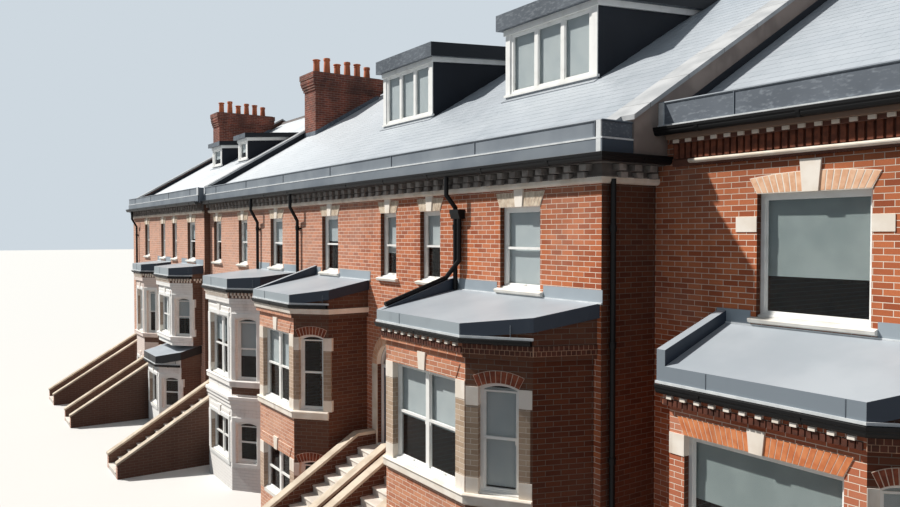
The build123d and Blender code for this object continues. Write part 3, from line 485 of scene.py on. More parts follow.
def arc(centre, radius, start, end, count):
    """Points of an arc: the centre plus the radius times the cosine and sine of equal turns, in degrees."""
    turn = np.radians(np.linspace(start, end, count))
    return [(centre[0] + radius * c, centre[1] + radius * s) for c, s in zip(np.cos(turn), np.sin(turn))]


def moulded_sill(face):
    """A sill: its section of (outwards, up) points runs along the opening and past both its sides."""
    back = -frame_inset - 0.02
    drip = sill_reach - 0.045
    nose = sill_reach - nose_radius
    section = [(back, -sill_height), (drip, -sill_height), (drip, drip_depth - sill_height),
               (nose, drip_depth - sill_height)]
    section += arc((nose, -0.032), nose_radius, -45, 75, 4) + [(0.0, 0.002), (back, 0.010)]
    return prisms(Face(face.origin, face.out), [section], -face.width - sill_horn, sill_horn)


rear_windows = seats("rear_frames", side=-1)
for name, faces, node in (("moulded_sills", upper_windows, "window_sills"),
                          ("garden_sills", rear_windows, "rear_sills")):
    piece(name, [moulded_sill(face) for face in faces], white_stone, [node])

# Jambs and blocks. Beside each bay window a cream stone block at the springing and another on the sill, with
# a shaft of paler bricks between them, and small blocks let in beside the end house's window.
front_jamb_proud = 0.010
block_proud = 0.014
shaft_width = 0.18
front_pier = 0.255
cap_height = 0.30
cap_width = 0.21
base_height = 0.26
lining = 0.004
tall_window = 1.3
end_block = (7.345, 7.566)
end_window_sides = ((33.736, 34.08), (35.73, 36.02))
end_set_back = 1.24
street = Face((row_start, street_line, 0), (1, 0, 0))


def rectangles(u0, u1, v0, v1):
    """Outlines of rectangles, anticlockwise, from arrays of their sides."""
    u0, u1, v0, v1 = np.broadcast_arrays(u0, u1, v0, v1)
    corners = ((u0, v0), (u1, v0), (u1, v1), (u0, v1))
    return np.stack([np.stack(corner, axis=-1) for corner in corners], axis=-2)


def blocks(face, u0, u1, v0, v1, back, front):
    """Square blocks on a face, from arrays of their sides."""
    outlines = rectangles(*(np.atleast_1d(np.asarray(side, float)) for side in (u0, u1, v0, v1)))
    return prisms(face, outlines, back, front)


def pier(face, side):
    """Width of the brickwork between a bay window and the nearest corner of its bay. On the left of a cant
    it is the distance back from the front's plane, over the sine of the cant's turn."""
    if not is_cant(face):
        return front_pier
    if side:
        return cap_width
    fronts = [other.origin for other in bay_windows if not is_cant(other) and
              other.origin[2] == face.origin[2] and other.origin[0] < face.origin[0]]
    front = max(fronts, key=lambda origin: origin[0])
    return min(cap_width, (face.origin[1] - front[1]) / face.along[1] - 0.002)


caps = []
shafts = []
for face in bay_windows:
    spring = face.height - (face.width * cant_rise_share if is_cant(face) else 0)
    foot = base_height if face.height > tall_window else 0.0
    for side in (0, 1):
        if in_end_house(face) and side and not is_cant(face):
            continue
        top = pier(face, side)
        width = shaft_width if is_cant(face) and side else top
        cap_sides = (face.width - lining, face.width + top) if side else (-top, lining)
        shaft_sides = (face.width - lining, face.width + width) if side else (-width, lining)
        caps.append(blocks(face, *cap_sides, spring - cap_height, spring, -frame_inset, block_proud))
        if in_end_house(face):
            continue
        if foot:
            caps.append(blocks(face, *cap_sides, 0.0, foot, -frame_inset, block_proud))
        shafts.append(blocks(face, *shaft_sides, foot, spring - cap_height, -frame_inset, front_jamb_proud))
for left, right in end_window_sides:
    caps.append(blocks(street, left, right, *end_block, -end_set_back - 0.05, -end_set_back + 0.012))
piece("jamb_blocks", caps, block_stone)
shaft_bricks = ((206, 184, 160), (176, 152, 128), (228, 214, 198))
# The shafts take less of the painted shade on the sides that face right.
piece("jamb_shafts", shafts, brick("shaft_brick", *shaft_bricks, painted=True, dark_share=0.3))

# Eaves cornice. Two staggered rows of cut stone blocks in front of a bed, between a pale moulding below and
# the crown under the gutter. The end house has brick-on-end dentils and small stone blocks instead. Painted
# shade from the gutter darkens the bed, the blocks and the dentils.
cornice_foot = 8.18
bed_moulding = 0.07
block_pitch = 0.353
block_width = 0.155
upper_blocks = (8.313, 8.412, 0.05, 0.19)
lower_blocks = (8.205, 8.292, 0.05, 0.14)
end_cornice_foot = 8.39
end_lead_top = 0.41
clay_start = 0.38
end_stone_start = 32.6
end_moulding_start = 32.94
end_block_pitch = 0.235
end_block_width = 0.10
end_blocks = (8.750, 8.804, 0.1, 0.18)
end_dentils = (8.508, 8.744, 0.04, 0.095)
end_dentil_width = 0.075
pair_corner = 11.965
pair_front = [(0.0, -pair_forward), (pair_corner, -pair_forward)]
terrace_front = [(pair_corner, 0.0), (terrace_end, 0.0)]
terrace_round = terrace_front + [(terrace_end, end_set_back)]
end_front = [(end_stone_start, end_set_back), (row_end, end_set_back)]
end_moulding_line = [(end_moulding_start, end_set_back), (row_end, end_set_back)]
ground = Face((row_start, street_line, 0), (1, 0, 0), (0, 1, 0))


def mitres(path, closed=False):
    """For each point of a path, the way to its right along the corner's bisector, lengthened by one over the
    cosine of half the turn."""
    run = np.roll(path, -1, axis=0) - path
    run = run if closed else run[:-1]
    run = run / np.linalg.norm(run, axis=1, keepdims=True)
    right = np.stack([run[:, 1], -run[:, 0]], axis=1)
    before = np.roll(right, 1, axis=0) if closed else np.vstack([right[:1], right])
    after = right if closed else np.vstack([right, right[-1:]])
    return (before + after) / (1 + (before * after).sum(axis=1))[:, None]


def skin(rows, columns, rows_close=False, columns_close=True):
    """Quads between the neighbours of a grid of points, whose rows and columns may close on themselves."""
    i = np.arange(rows if rows_close else rows - 1)[:, None]
    j = np.arange(columns if columns_close else columns - 1)[None]
    over = (i + 1) % rows * columns
    after = (j + 1) % columns
    return np.stack([i * columns + j, over + j, over + after, i * columns + after], axis=-1).reshape(-1, 4)


def carried(face, path, profile, closed=False):
    """A closed profile of (to the right, outwards) points, anticlockwise, carried along a path on a face:
    each point of the path moves along its mitre by the first number, and out by the second."""
    path = np.asarray(path, float)
    profile = np.asarray(profile, float)
    spots = path[:, None] + profile[:, :1] * mitres(path, closed)[:, None]
    points = face.at(spots[..., 0], spots[..., 1], profile[:, 1])
    rows, columns = points.shape[:2]
    faces = [skin(rows, columns, closed)]
    if not closed:
        turn = np.arange(columns)
        faces.append(np.stack([turn, (rows - 1) * columns + turn[::-1]]))
    return points, faces


def cornice_finish():
    """Weathered stone darkened with painted shade under the gutter, and brick red where the cornice belongs
    to the end house, darkened with painted shade behind its dentils.
    """
    finish = Finish("cornice_stone")
    patch = finish.noise(2.4, 4.0)
    # Painted shade: the weathered grey bed is made darker, and the clay behind the dentils darker still.
    stone = finish.mix(patch.ramp(0.3, 0.7), (104, 99, 95), (80, 75, 72))
    clay = finish.mix(patch, (92, 52, 38), (66, 38, 28))
    clay = finish.mix(finish.point.part(2) > end_cornice_foot + end_lead_top, clay, (124, 100, 84))
    colour = finish.mix(finish.point.part(0) > end_line + clay_start, stone, clay)
    return finish.done(colour, 0.86, finish.noise(110.0, 2.0), 0.0015)


def runs(path):
    """Each straight run of a plan path: its first point, its direction and its length."""
    path = np.asarray(path, float)
    steps = np.diff(path, axis=0)
    lengths = np.linalg.norm(steps, axis=1)
    return zip(path[:-1], steps / lengths[:, None], lengths)


def row_of_blocks(path, pitch, width, low, high, back, front, offset=0.0):
    """Equal blocks along each straight run of a plan path, standing out to its right: as many whole steps as
    fit after the offset, with what is left over shared between both ends."""
    parts = []
    for start, run, length in runs(path):
        count = int((length - offset) / pitch)
        centres = offset + pitch * (np.arange(count) + 0.5) + (length - offset - count * pitch) / 2
        wall = Face(ground.at(*start, 0.0), (*run, 0))
        parts.append(blocks(wall, centres - width / 2, centres + width / 2, low, high, back, front))
    return parts


dress(cornice_finish(), "cornices")
cream_stone = masonry("cream_stone", (242, 232, 218), (226, 213, 196), (160, 142, 126))
stone_rows = []
for path in (pair_front, terrace_round):
    stone_rows += row_of_blocks(path, block_pitch, block_width, *upper_blocks)
    stone_rows += row_of_blocks(path, block_pitch, block_width, *lower_blocks, block_pitch / 2)
bed_section = [(-0.01, cornice_foot - bed_moulding), (0.03, cornice_foot - bed_moulding)]
bed_section += arc((0.03, cornice_foot - 0.012), 0.055, -80, 0, 5)
bed_section += [(0.085, cornice_foot + 0.03), (-0.01, cornice_foot + 0.03)]
end_section = [(-0.01, end_cornice_foot), (0.05, end_cornice_foot), (0.055, end_cornice_foot + 0.03),
               (0.08, end_cornice_foot + 0.04)]
end_section += arc((0.10, end_cornice_foot + 0.075), 0.028, -60, 80, 5) + [(-0.01, end_cornice_foot + 0.115)]
mouldings = [carried(ground, path, bed_section) for path in (pair_front, terrace_round)]
mouldings.append(carried(ground, end_moulding_line, end_section))
# The blocks are pale stone greyed with painted shade from the gutter.
piece("cornice_blocks", stone_rows,
      masonry("shaded_block_stone", (160, 154, 148), (122, 116, 111), (78, 73, 70), 6.0))
piece("end_cornice_blocks", row_of_blocks(end_front, end_block_pitch, end_block_width, *end_blocks),
      cream_stone)
piece("cornice_mouldings", mouldings, cream_stone)
# The end house's dentils are dark brick, darkened with painted shade from the gutter.
piece("end_dentils", row_of_blocks(end_front, end_block_pitch / 2, end_dentil_width, *end_dentils),
      masonry("shaded_dentil_brick", (126, 72, 52), (92, 52, 38), (58, 36, 30), 8.0))

# Lead-clad upstands over the eaves. Grey sheet lead dressed over boards, with welted upright joints, a white
# drip along its foot, a slightly prouder plinth below that, and pale posts at its corners.
upstand_foot = 8.50
upstand_top = 9.06
upstand_depth = 0.20
drip_level = 8.775
drip_height = 0.028
plinth_proud = 0.022
welt_spacing = 3.15
first_welt = 0.44
end_drip = (9.014, 9.05)
end_upstand_top = 9.41
return_start = 0.46
oversail = 0.24
edge_roll = [(-0.03, -0.012), (0.012, -0.02), (0.02, -0.004), (0.01, 0.012), (-0.03, 0.012)]
end_eaves_line = [(terrace_end + oversail, end_set_back), (row_end, end_set_back)]


def sheet_lead(name, tone, other, speckle=0.0, sides=None, rough=0.42):
    """Sheet metal: a soft cloudy bloom in two tones, slow dents, and speckles where it is old. Sides that
    face along the row can be given a darker tone, which is painted shade."""
    finish = Finish(name)
    cloud = finish.noise(0.9, 4.0)
    colour = finish.mix(cloud.ramp(0.3, 0.7), tone, other)
    if speckle:
        bloom = finish.noise(16.0, 6.0, stretch=(0.6, 1.0, 1.6))
        colour = finish.mix(bloom.ramp(0.45, 0.75) * speckle, colour, (170, 177, 184))
    # Painted shade: the sides that face along the row take the darker tone.
    if sides:
        turned = finish.normal.part(0)
        upright = finish.normal.part(2) < 0.5
        colour = finish.mix((turned * turned).ramp(0.02, 0.12) * upright, colour, sides)
    return finish.done(colour, rough + cloud * 0.16, finish.noise(2.6, 2.0), 0.004, Specular_IOR_Level=0.25)


def upstand_sheet():
    """The upstands' own lead: cloudy over the terrace, darker and speckled over the end house."""
    finish = Finish("upstand_sheet")
    cloud = finish.noise(0.9, 4.0)
    bloom = finish.noise(16.0, 6.0, stretch=(0.6, 1.0, 1.6))
    near = finish.mix(cloud.ramp(0.3, 0.7), (134, 142, 150), (112, 121, 131))
    far = finish.mix(cloud.ramp(0.3, 0.7), (100, 108, 118), (80, 88, 98))
    far = finish.mix(bloom.ramp(0.5, 0.75) * 0.4, far, (160, 168, 176))
    colour = finish.mix(finish.point.part(0) > end_line, near, far)
    return finish.done(colour, 0.45 + cloud * 0.15, finish.noise(2.6, 2.0), 0.004)


def strip(proud, low, high, back=-0.01):
    """Section of a flat strip that stands out from a wall between two levels."""
    return [(back, low), (proud, low), (proud, high), (back, high)]


def welts(path, spacing, low, high, width=0.02, proud=0.014):
    """Upright joints along a plan path, rounded to five faces."""
    half = width / 2
    parts = []
    for start, run, length in runs(path):
        wall = Face(ground.at(*start, 0.0), (*run, 0))
        side = Face(wall.origin, wall.along, -wall.out)
        for place in np.arange(spacing * first_welt, length, spacing):
            section = [(-half, -0.002), (-half, proud * 0.6), (-half / 2, proud), (half / 2, proud),
                       (half, proud * 0.6), (half, -0.002)]
            parts.append(prisms(side, [[(place + u, -w) for u, w in section]], low, high))
    return parts


# The upstand lead's sides that face along the row are darkened with painted shade.
upstand_lead = sheet_lead("upstand_lead", (132, 140, 148), (112, 121, 131), sides=(70, 80, 92))
trim_white = masonry("trim_white", (226, 230, 232), (208, 213, 216), (150, 154, 158), 6.0, 0.5)
dress(upstand_sheet(), "eaves_upstands")
drips = []
plinths = []
joints = []
street_drip = (drip_level, drip_level + drip_height)
terrace_eaves_line = terrace_front + [(terrace_end, return_start)]
for line, proud, drip, top in ((pair_front, 0.03, street_drip, upstand_top),
                               (terrace_eaves_line, 0.03, street_drip, upstand_top),
                               (end_eaves_line, 0.045, end_drip, end_upstand_top)):
    path = line + upstand_depth * mitres(np.array(line))
    drips.append(carried(ground, path, strip(proud, *drip)))
    if line is not end_eaves_line:
        plinths.append(carried(ground, path, strip(plinth_proud, upstand_foot + 0.02, drip_level)))
    joints += welts(path, welt_spacing, drip[1], top)
    joints.append(carried(ground, path, [(out, top + up) for out, up in edge_roll]))
posts = []
for left, right, foot, top, wall_y, proud in (
        (terrace_end + 0.10, terrace_end + 0.198, upstand_foot + 0.05, upstand_top, 0.0, 0.028),
        (pair_corner - 0.2, pair_corner - 0.01, upstand_foot + 0.05, upstand_top, -pair_forward, 0.02),
        (terrace_end + 0.244, terrace_end + 0.34, end_drip[1], end_upstand_top, end_set_back, 0.028)):
    front = upstand_depth - wall_y
    posts.append(blocks(street, left, right, foot, top, front - 0.02, front + proud))
piece("upstand_drips", drips, trim_white)
piece("upstand_plinths", plinths, upstand_lead)
piece("upstand_joints", joints, upstand_lead)
piece("upstand_posts", posts, trim_white)

# Gutters. Black cast-iron ogee gutters in six-foot lengths, with a rolled rim and joint collars, on the
# cornice and along the front and the cant of every bay.
gutter_width = 0.12
gutter_reach = 0.24
eaves_gutter_height = 0.13
gutter_foot = 8.43
end_gutter_foot = 8.88
gutter_wall = 0.007
collar_spacing = 1.83
collar_half = 0.03


def black_paint():
    """Gloss paint on cast iron: nearly black, a little uneven, dusty on its upper faces."""
    finish = Finish("black_paint")
    dust = finish.noise(6.0, 4.0).ramp(0.4, 0.8) * finish.normal.part(2).ramp(0.2, 0.9)
    colour = finish.mix(dust * 0.25, (10, 10, 12), (60, 58, 54))
    return finish.done(colour, 0.38 + finish.noise(18.0, 2.0) * 0.2, finish.noise(30.0, 2.0), 0.0008,
                       Specular_IOR_Level=0.18)


def ogee(inner, foot, height):
    """Section of an ogee gutter from its back edge round the outside to the rolled rim and back inside. It
    is drawn at the eaves gutter's height, and its levels are squeezed to the height asked for."""
    outer = inner + gutter_width
    wall = gutter_wall
    full = eaves_gutter_height
    section = [(inner, full), (inner, 0.012), (inner + 0.012, 0.0), (inner + 0.045, 0.0)]
    section += arc((inner + 0.045, 0.05), 0.05, -80, -20, 4)
    section += arc((outer + 0.004, 0.062), 0.026, 200, 110, 4)
    section += [(outer - 0.003, full - 0.012), (outer, full - 0.006), (outer - 0.003, full),
                (outer - 0.014, full), (outer - 0.014, 0.09), (outer - 0.03, 0.068), (inner + 0.08, 0.03),
                (inner + 0.045, wall), (inner + 0.014, wall), (inner + wall, 0.016), (inner + wall, full)]
    return [(reach, foot + level * height / full) for reach, level in section]


def gutter(path, inner, foot, height):
    """A gutter along a plan path, with joint collars at equal steps: short lengths of a section that stands
    a few millimetres outside the gutter's own."""
    parts = [carried(ground, path, ogee(inner, foot, height))]
    rim = foot + height - 0.002
    outer = inner + gutter_width
    section = [(inner, foot - 0.003), (inner + gutter_width * 0.62, foot - 0.003),
               (outer - 0.012, foot + (height - 0.002) * 0.42), (outer - 0.001, rim), (inner, rim)]
    for start, run, length in runs(path):
        count = max(1, round(length / collar_spacing))
        for place in (np.arange(count) + 0.5) * length / count:
            ends = [start + run * (place - collar_half), start + run * (place + collar_half)]
            parts.append(carried(ground, ends, section))
    return parts


iron = black_paint()
troughs = []
for line, foot in ((pair_front, gutter_foot), (terrace_round, gutter_foot),
                   (end_eaves_line, end_gutter_foot)):
    troughs += gutter(line, gutter_reach, foot, eaves_gutter_height)
piece("ogee_gutters", troughs, iron, ["eaves_gutters"])

# Slates. Smooth blue-grey slates about 300 mm wide laid to a 220 mm gauge, each course shifted by half a
# slate, on battens over the rafters. Clay ridge tiles with a roll cover the top joint.
roof_slope = 0.6
slope_run = 1 / math.hypot(1, roof_slope)
slope_rise = roof_slope * slope_run
slate_width = 0.30
slate_gauge = 0.22
slate_lap = 1.12
slate_tail = 0.006
slate_head = 0.003
slate_gap = 0.003
least_slate = 0.02
slate_bed = 0.004
dormer_lap = 0.25
terrace_eaves = 8.90
end_eaves = 9.10
row_depth = 15.0
rear_overhang = 0.15
rear_start = 0.006
dormer_front = 2.60
dormer_reach = 0.18
fire_wall = 0.33
terrace_line = 11.8
tile_length = 0.45
tile_wing = 0.15
tile_margin = 0.04
tile_gap = 0.008


def slate_finish():
    """Slate: every slate its own tone from its course and place, faint lichen, a soft sheen, and a painted
    sheen that makes the slopes paler towards the left.
    """
    finish = Finish("roof_slates")
    x = finish.point.part(0)
    course = finish.maths("FLOOR", (finish.point.part(1) + 50.0) / (slate_gauge * slope_run))
    column = finish.maths("FLOOR", x / slate_width + course * 0.5)
    cell = finish.node("ShaderNodeCombineXYZ", {}, {0: column, 1: course})
    own = finish.node("ShaderNodeTexWhiteNoise", {"noise_dimensions": "2D"}, {"Vector": cell})
    cloud = finish.noise(0.35, 4.0)
    grain = finish.noise(60.0, 3.0, stretch=(1.0, 3.0, 1.0))
    colour = finish.mix(own, (160, 168, 176), (168, 175, 183))
    # Painted sheen: the slopes grow paler towards the left.
    colour = finish.mix(x.ramp(row_start + 26.0, row_start + 8.0) * 0.9, colour, (222, 226, 230))
    colour = finish.mix(cloud.ramp(0.35, 0.7) * 0.5, colour, (182, 188, 194))
    colour = finish.mix(grain.ramp(0.6, 0.8) * 0.08, colour, (120, 126, 134))
    return finish.done(colour, 0.36 + own * 0.05 + cloud * 0.1, grain, 0.0006)


def dormer_footprints():
    """Plan ranges that dormers cover: the roof solid's reach less its overhang, from the front wall back."""
    ranges = []
    for points in solids("dormer_roofs"):
        low = points.min(axis=0)
        high = points.max(axis=0)
        ranges.append((low[0] + dormer_reach - row_start, high[0] - dormer_reach - row_start,
                       dormer_front, high[1] - street_line))
    return ranges


def lay_slates(face, x0, x1, start, length, rear=False):
    """Courses of slates up a slope: each tail lies over the heads below, and slates under dormers go."""
    rows = int(length / slate_gauge)
    gauge = length / rows
    columns = int((x1 - x0) / slate_width) + 2
    row, column = np.meshgrid(np.arange(rows), np.arange(columns), indexing="ij")
    left = np.clip(x0 + (column - 0.5 * (row % 2)) * slate_width + slate_gap / 2, x0, x1)
    right = np.clip(x0 + (column + 1 - 0.5 * (row % 2)) * slate_width - slate_gap / 2, x0, x1)
    low = start + row * gauge
    high = np.minimum(low + gauge * slate_lap, start + length)
    keep = right - left > least_slate
    if not rear:
        middle = (left + right) / 2
        depth = (low + gauge / 2) * slope_run + (face.origin[1] - street_line)
        for left_end, right_end, near, far in covered:
            beside = (middle < left_end) | (middle > right_end)
            keep &= beside | (depth < near) | (depth > far - dormer_lap)
    sides = [side[keep] for side in (left, right, low, high)]
    if rear:
        sides[:2] = -sides[1], -sides[0]
    outlines = rectangles(*sides)
    front = np.tile([slate_tail, slate_tail, slate_head, slate_head], (len(outlines), 1))
    return prisms(face, outlines, -slate_bed, front)


covered = dormer_footprints()
slates = slate_finish()
dress(slates, "front_slopes", "rear_slopes")
rear_edge = row_depth + rear_overhang
ridge_tiles = []
for name, x0, x1, eaves_y, level_y, level in (
        ("pair", fire_wall, terrace_line - fire_wall / 2, -pair_forward, 0.0, terrace_eaves),
        ("terrace", terrace_line + fire_wall / 2, terrace_end - fire_wall, 0.0, 0.0, terrace_eaves),
        ("end", terrace_end + oversail, row_end - fire_wall, end_set_back, end_set_back, end_eaves)):
    ridge_y = (level_y + row_depth) / 2
    top = level + roof_slope * (ridge_y - level_y)
    front_face = Face((row_start, street_line + level_y, level), (1, 0, 0), (0, slope_run, slope_rise))
    start = (eaves_y - level_y) / slope_run
    courses = lay_slates(front_face, x0, x1, start, (ridge_y - eaves_y) / slope_run)
    piece(f"{name}_front_slates", [courses], slates)
    rear_level = top - roof_slope * (rear_edge - ridge_y)
    rear_foot = (row_start, street_line + rear_edge, rear_level)
    rear_face = Face(rear_foot, (-1, 0, 0), (0, -slope_run, slope_rise))
    length = (rear_edge - ridge_y) / slope_run - rear_start
    courses = lay_slates(rear_face, x0, x1, rear_start, length, rear=True)
    piece(f"{name}_rear_slates", [courses], slates)
    wing_level = -tile_wing * roof_slope
    outline = [(-tile_wing, wing_level + 0.014), (0, 0.010), (tile_wing, wing_level + 0.014),
               (tile_wing, wing_level + 0.03)] + arc((0, 0.055), 0.035, -20, 200, 8)
    outline += [(-tile_wing, wing_level + 0.03)]
    covered_length = x1 - x0 - 2 * tile_margin
    count = int(covered_length / tile_length)
    starts = x0 + tile_margin + np.arange(count) * covered_length / count
    side = Face((row_start, street_line + ridge_y, top), (0, 1, 0))
    ridge_tiles.append(prisms(side, [outline] * count, starts, starts + covered_length / count - tile_gap))
ridge_clay = masonry("ridge_clay", (120, 112, 110), (96, 92, 92), (70, 66, 66), 5.0, 0.7)
piece("ridge_tiles", ridge_tiles, ridge_clay, ["ridge_caps"])

# Roof-high party walls. Brick walls that rise through the slates, with stone copings in lengths. The wall
# beside the pair is clad in lead darkened with painted shade, and the one beside the end house oversails and
# is rendered.
coping_joint = 0.92
flashing_height = 0.15
flashing_proud = 0.006
terrace_slope = (0.0, terrace_eaves)
end_slope = (end_set_back, end_eaves)
half_wall = fire_wall / 2


def coping_stone():
    """Sawn stone copings: pale, streaked, with a dark joint at every length down the slope."""
    finish = Finish("coping_stone")
    seam = finish.point.part(1).seam(coping_joint, 0.006)
    grain = finish.noise(90.0, 2.0)
    colour = finish.mix(finish.noise(2.0, 4.0).ramp(0.3, 0.7), (186, 188, 190), (160, 163, 166))
    colour = finish.mix(seam * 0.7, colour, (84, 82, 80))
    return finish.done(colour, 0.8 + grain * 0.1, grain - seam, 0.003)


def slope_level(y, slope):
    """Height of a front slope at a distance back from the terrace's street face. The slope is given by the
    distance back and the height of its foot."""
    return slope[1] + roof_slope * (y - slope[0])


def sloping_strip(x, side, y0, y1, slope, low, high, proud):
    """A lead strip on a party wall's side that follows the slates: a parallelogram with upright ends."""
    wall = Face((row_start + x, street_line, 0), (0, side, 0))
    z0 = slope_level(y0, slope)
    z1 = slope_level(y1, slope)
    outline = [(side * y0, z0 + low), (side * y1, z1 + low), (side * y1, z1 + high), (side * y0, z0 + high)]
    if side < 0:
        outline = [outline[1], outline[0], outline[3], outline[2]]
    return prisms(wall, [outline], -0.01, proud)


# Lead darkened to near black: painted shade, as on the cheeks that face along the row.
navy_lead = sheet_lead("navy_lead", (20, 26, 36), (15, 20, 29), rough=0.5)
dress(coping_stone(), "parapet_copings")
dress(masonry("parapet_render", (158, 144, 136), (134, 122, 116), (96, 86, 80), 1.6), "oversailing_wall")
flashings = []
for x, side, y0, y1, slope in ((terrace_line + half_wall, 1, 0.3, 3.78, terrace_slope),
                               (terrace_line - half_wall, -1, 0.1, row_depth / 2, terrace_slope),
                               (fire_wall, 1, 0.1, 3.78, terrace_slope),
                               (row_end - fire_wall, -1, 1.6, row_depth / 2, end_slope),
                               (terrace_end + oversail, 1, 1.3, (row_depth + end_set_back) / 2, end_slope)):
    flashings.append(sloping_strip(x, side, y0, y1, slope, 0.0, flashing_height, flashing_proud))
piece("roof_flashings", flashings, navy_lead)
cladding = sloping_strip(terrace_line + half_wall, 1, -0.04, 3.79, terrace_slope, 0.03, 0.215, 0.003)
piece("party_wall_cladding", [cladding], navy_lead)

# Chimneys. Brick stacks with oversailing courses, sooted towards the top, each with a mortar bed in which a
# row of clay pots stands, two sorts by turns: roll-topped and plain tapered.
stack_sites = [(0.515, 5.2, 12.95), (12.48, 5.2, 12.95), (38.485, 5.82, 12.778)]
stack_cap_height = 0.67
stack_width = 1.03
cap_half_width = 0.58
cap_half_length = 1.45
pots_per_stack = 6
pot_row = 2.8
pot_margin = 0.06
pot_spacing = (pot_row - 2 * pot_margin) / pots_per_stack
pot_shares = (0.9, 1.03, 0.79, 0.97, 0.95, 0.82)
pot_height = 0.69
flue_radius = 0.09
stack_flashing = 0.17


def chimney_finish(name, dark_share):
    """Chimney brick: the wall's bricks, darker and redder, with soot in soft upright patches."""
    finish = Finish(name)
    pattern, joint = coursed(finish, (150, 78, 58), (104, 52, 42), shade((176, 156, 142)), -0.1)
    darkening = finish.noise(1.6, 4.0, stretch=(1.0, 1.0, 0.5)).ramp(0.2, 0.75) * dark_share
    colour = finish.mix(darkening, pattern, (42, 32, 30))
    return finish.done(colour, 0.9, 1 - joint + finish.noise(80.0) * 0.3, 0.004)


def revolved(face, u, v, section, around=20, closed=True):
    """A section of (radius, outwards) points, anticlockwise, turned about the line that stands out of a face
    at one point. It closes on itself, or starts and ends on that line."""
    turn = np.linspace(0, 2 * math.pi, around, endpoint=False)[:, None]
    radius, out = np.asarray(section, float).T
    points = face.at(u + radius * np.cos(turn), v + radius * np.sin(turn), out)
    return points, [skin(around, len(section), True, closed)]


def roll_topped(level, tall):
    """Section of a roll-topped pot: splayed foot, waist, collar and a rounded rim, hollow inside."""
    top = level + tall
    outside = [(0.150, level), (0.150, level + 0.04), (0.135, level + 0.07), (0.120, top - 0.16),
               (0.132, top - 0.15), (0.134, top - 0.13), (0.120, top - 0.12)]
    rim = arc((0.128, top - 0.045), 0.030, -110, 110, 8)
    return outside + rim + [(flue_radius, top - 0.02), (flue_radius, level)]


def tapered(level, tall):
    """Section of a plain pot: a straight taper with a square band at the top."""
    top = level + tall
    return [(0.145, level), (0.115, top - 0.11), (0.135, top - 0.10), (0.135, top - 0.02), (0.125, top),
            (flue_radius, top), (flue_radius, level)]


def pot_clay():
    """Terracotta, orange to sooty brown from pot to pot and streaked with soot."""
    finish = Finish("pot_clay")
    place = finish.maths("FLOOR", finish.point.part(1) / pot_spacing)
    own = finish.node("ShaderNodeTexWhiteNoise", {"noise_dimensions": "1D"}, {"W": place})
    stain = finish.noise(7.0, 3.0, stretch=(1.0, 1.0, 0.4))
    colour = finish.mix(own, (214, 124, 82), (150, 78, 54))
    colour = finish.mix(stain.ramp(0.5, 0.8) * 0.6, colour, (70, 48, 42))
    return finish.done(colour, 0.75, finish.noise(60.0), 0.0015)


end_lead = sheet_lead("end_lead", (104, 112, 122), (84, 92, 102), 0.4)
dress(chimney_finish("stack_brick", 0.55), "chimney_stacks")
dress(chimney_finish("cap_brick", 0.8), "chimney_caps")
pots = []
beds = []
for x, y, level in stack_sites:
    top = level + stack_cap_height
    beds.append(blocks(ground, max(0.03, x - cap_half_width), min(row_end - 0.03, x + cap_half_width),
                       y - cap_half_length, y + cap_half_length, top - 0.01, top + 0.03))
    for number, share in enumerate(pot_shares):
        along = y - pot_row / 2 + pot_margin + pot_spacing * (number + 0.5)
        sort = tapered if number % 2 else roll_topped
        pots.append(revolved(ground, x, along, sort(top, pot_height * share)))
        bed = [(0.20, top), (0.155, top + 0.085), (0.10, top + 0.085), (0.10, top)]
        beds.append(revolved(ground, x, along, bed, 16))
piece("clay_pots", pots, pot_clay(), ["chimney_pots"])
piece("pot_beds", beds, masonry("pot_mortar", (120, 112, 104), (92, 84, 80), (60, 54, 52)))
stack_flashings = []
for x, side, y0, y1, slope in ((stack_width, 1, 3.8, 6.6, terrace_slope),
                               (12.995, 1, 3.8, 6.6, terrace_slope),
                               (37.97, -1, 4.42, 7.22, end_slope)):
    stack_flashings.append(sloping_strip(x, side, y0, y1, slope, 0.0, stack_flashing, 0.008))
    left, right = sorted((x, x - side * stack_width))
    apron = slope_level(y0, slope)
    wall = Face((row_start, street_line + y0, 0), (1, 0, 0))
    stack_flashings.append(blocks(wall, left, right, apron - 0.02, apron + stack_flashing, -0.005, 0.009))
piece("chimney_flashings", stack_flashings, end_lead)

# Dormers. Timber dormers: white three-light windows and corner boards, lead cheeks darkened with painted
# shade, and a lead roof that falls forward behind a grey front edge, its turned sides darkened with painted
# shade too, with a lead apron dressed over the slates below the sill.
dormer_sill = 10.57
dormer_frame_inset = 0.005
board_width = 0.16
board_reach = 0.19
board_sill_reach = 0.22
board_sill_foot = -0.055
apron_foot = -0.16


def dormer_front_finish():
    """White painted boards, with lead below the sill."""
    finish = Finish("dormer_front_finish")
    wear = finish.noise(12.0, 3.0)
    white = finish.mix(wear.ramp(0.5, 0.8) * 0.4, (240, 241, 240), (206, 208, 208))
    colour = finish.mix(finish.point.part(2) < dormer_sill, white, (150, 156, 162))
    return finish.done(colour, 0.5, wear, 0.001)


def painted_timber(name, tone, worn):
    """Gloss paint over timber: faint brush grain along the height, slightly worn patches."""
    finish = Finish(name)
    brush = finish.noise(24.0, 3.0, stretch=(1.0, 1.0, 0.12))
    colour = finish.mix(finish.noise(3.5, 3.0).ramp(0.45, 0.75) * 0.6, tone, worn)
    return finish.done(colour, 0.34 + brush * 0.15, brush, 0.0008)


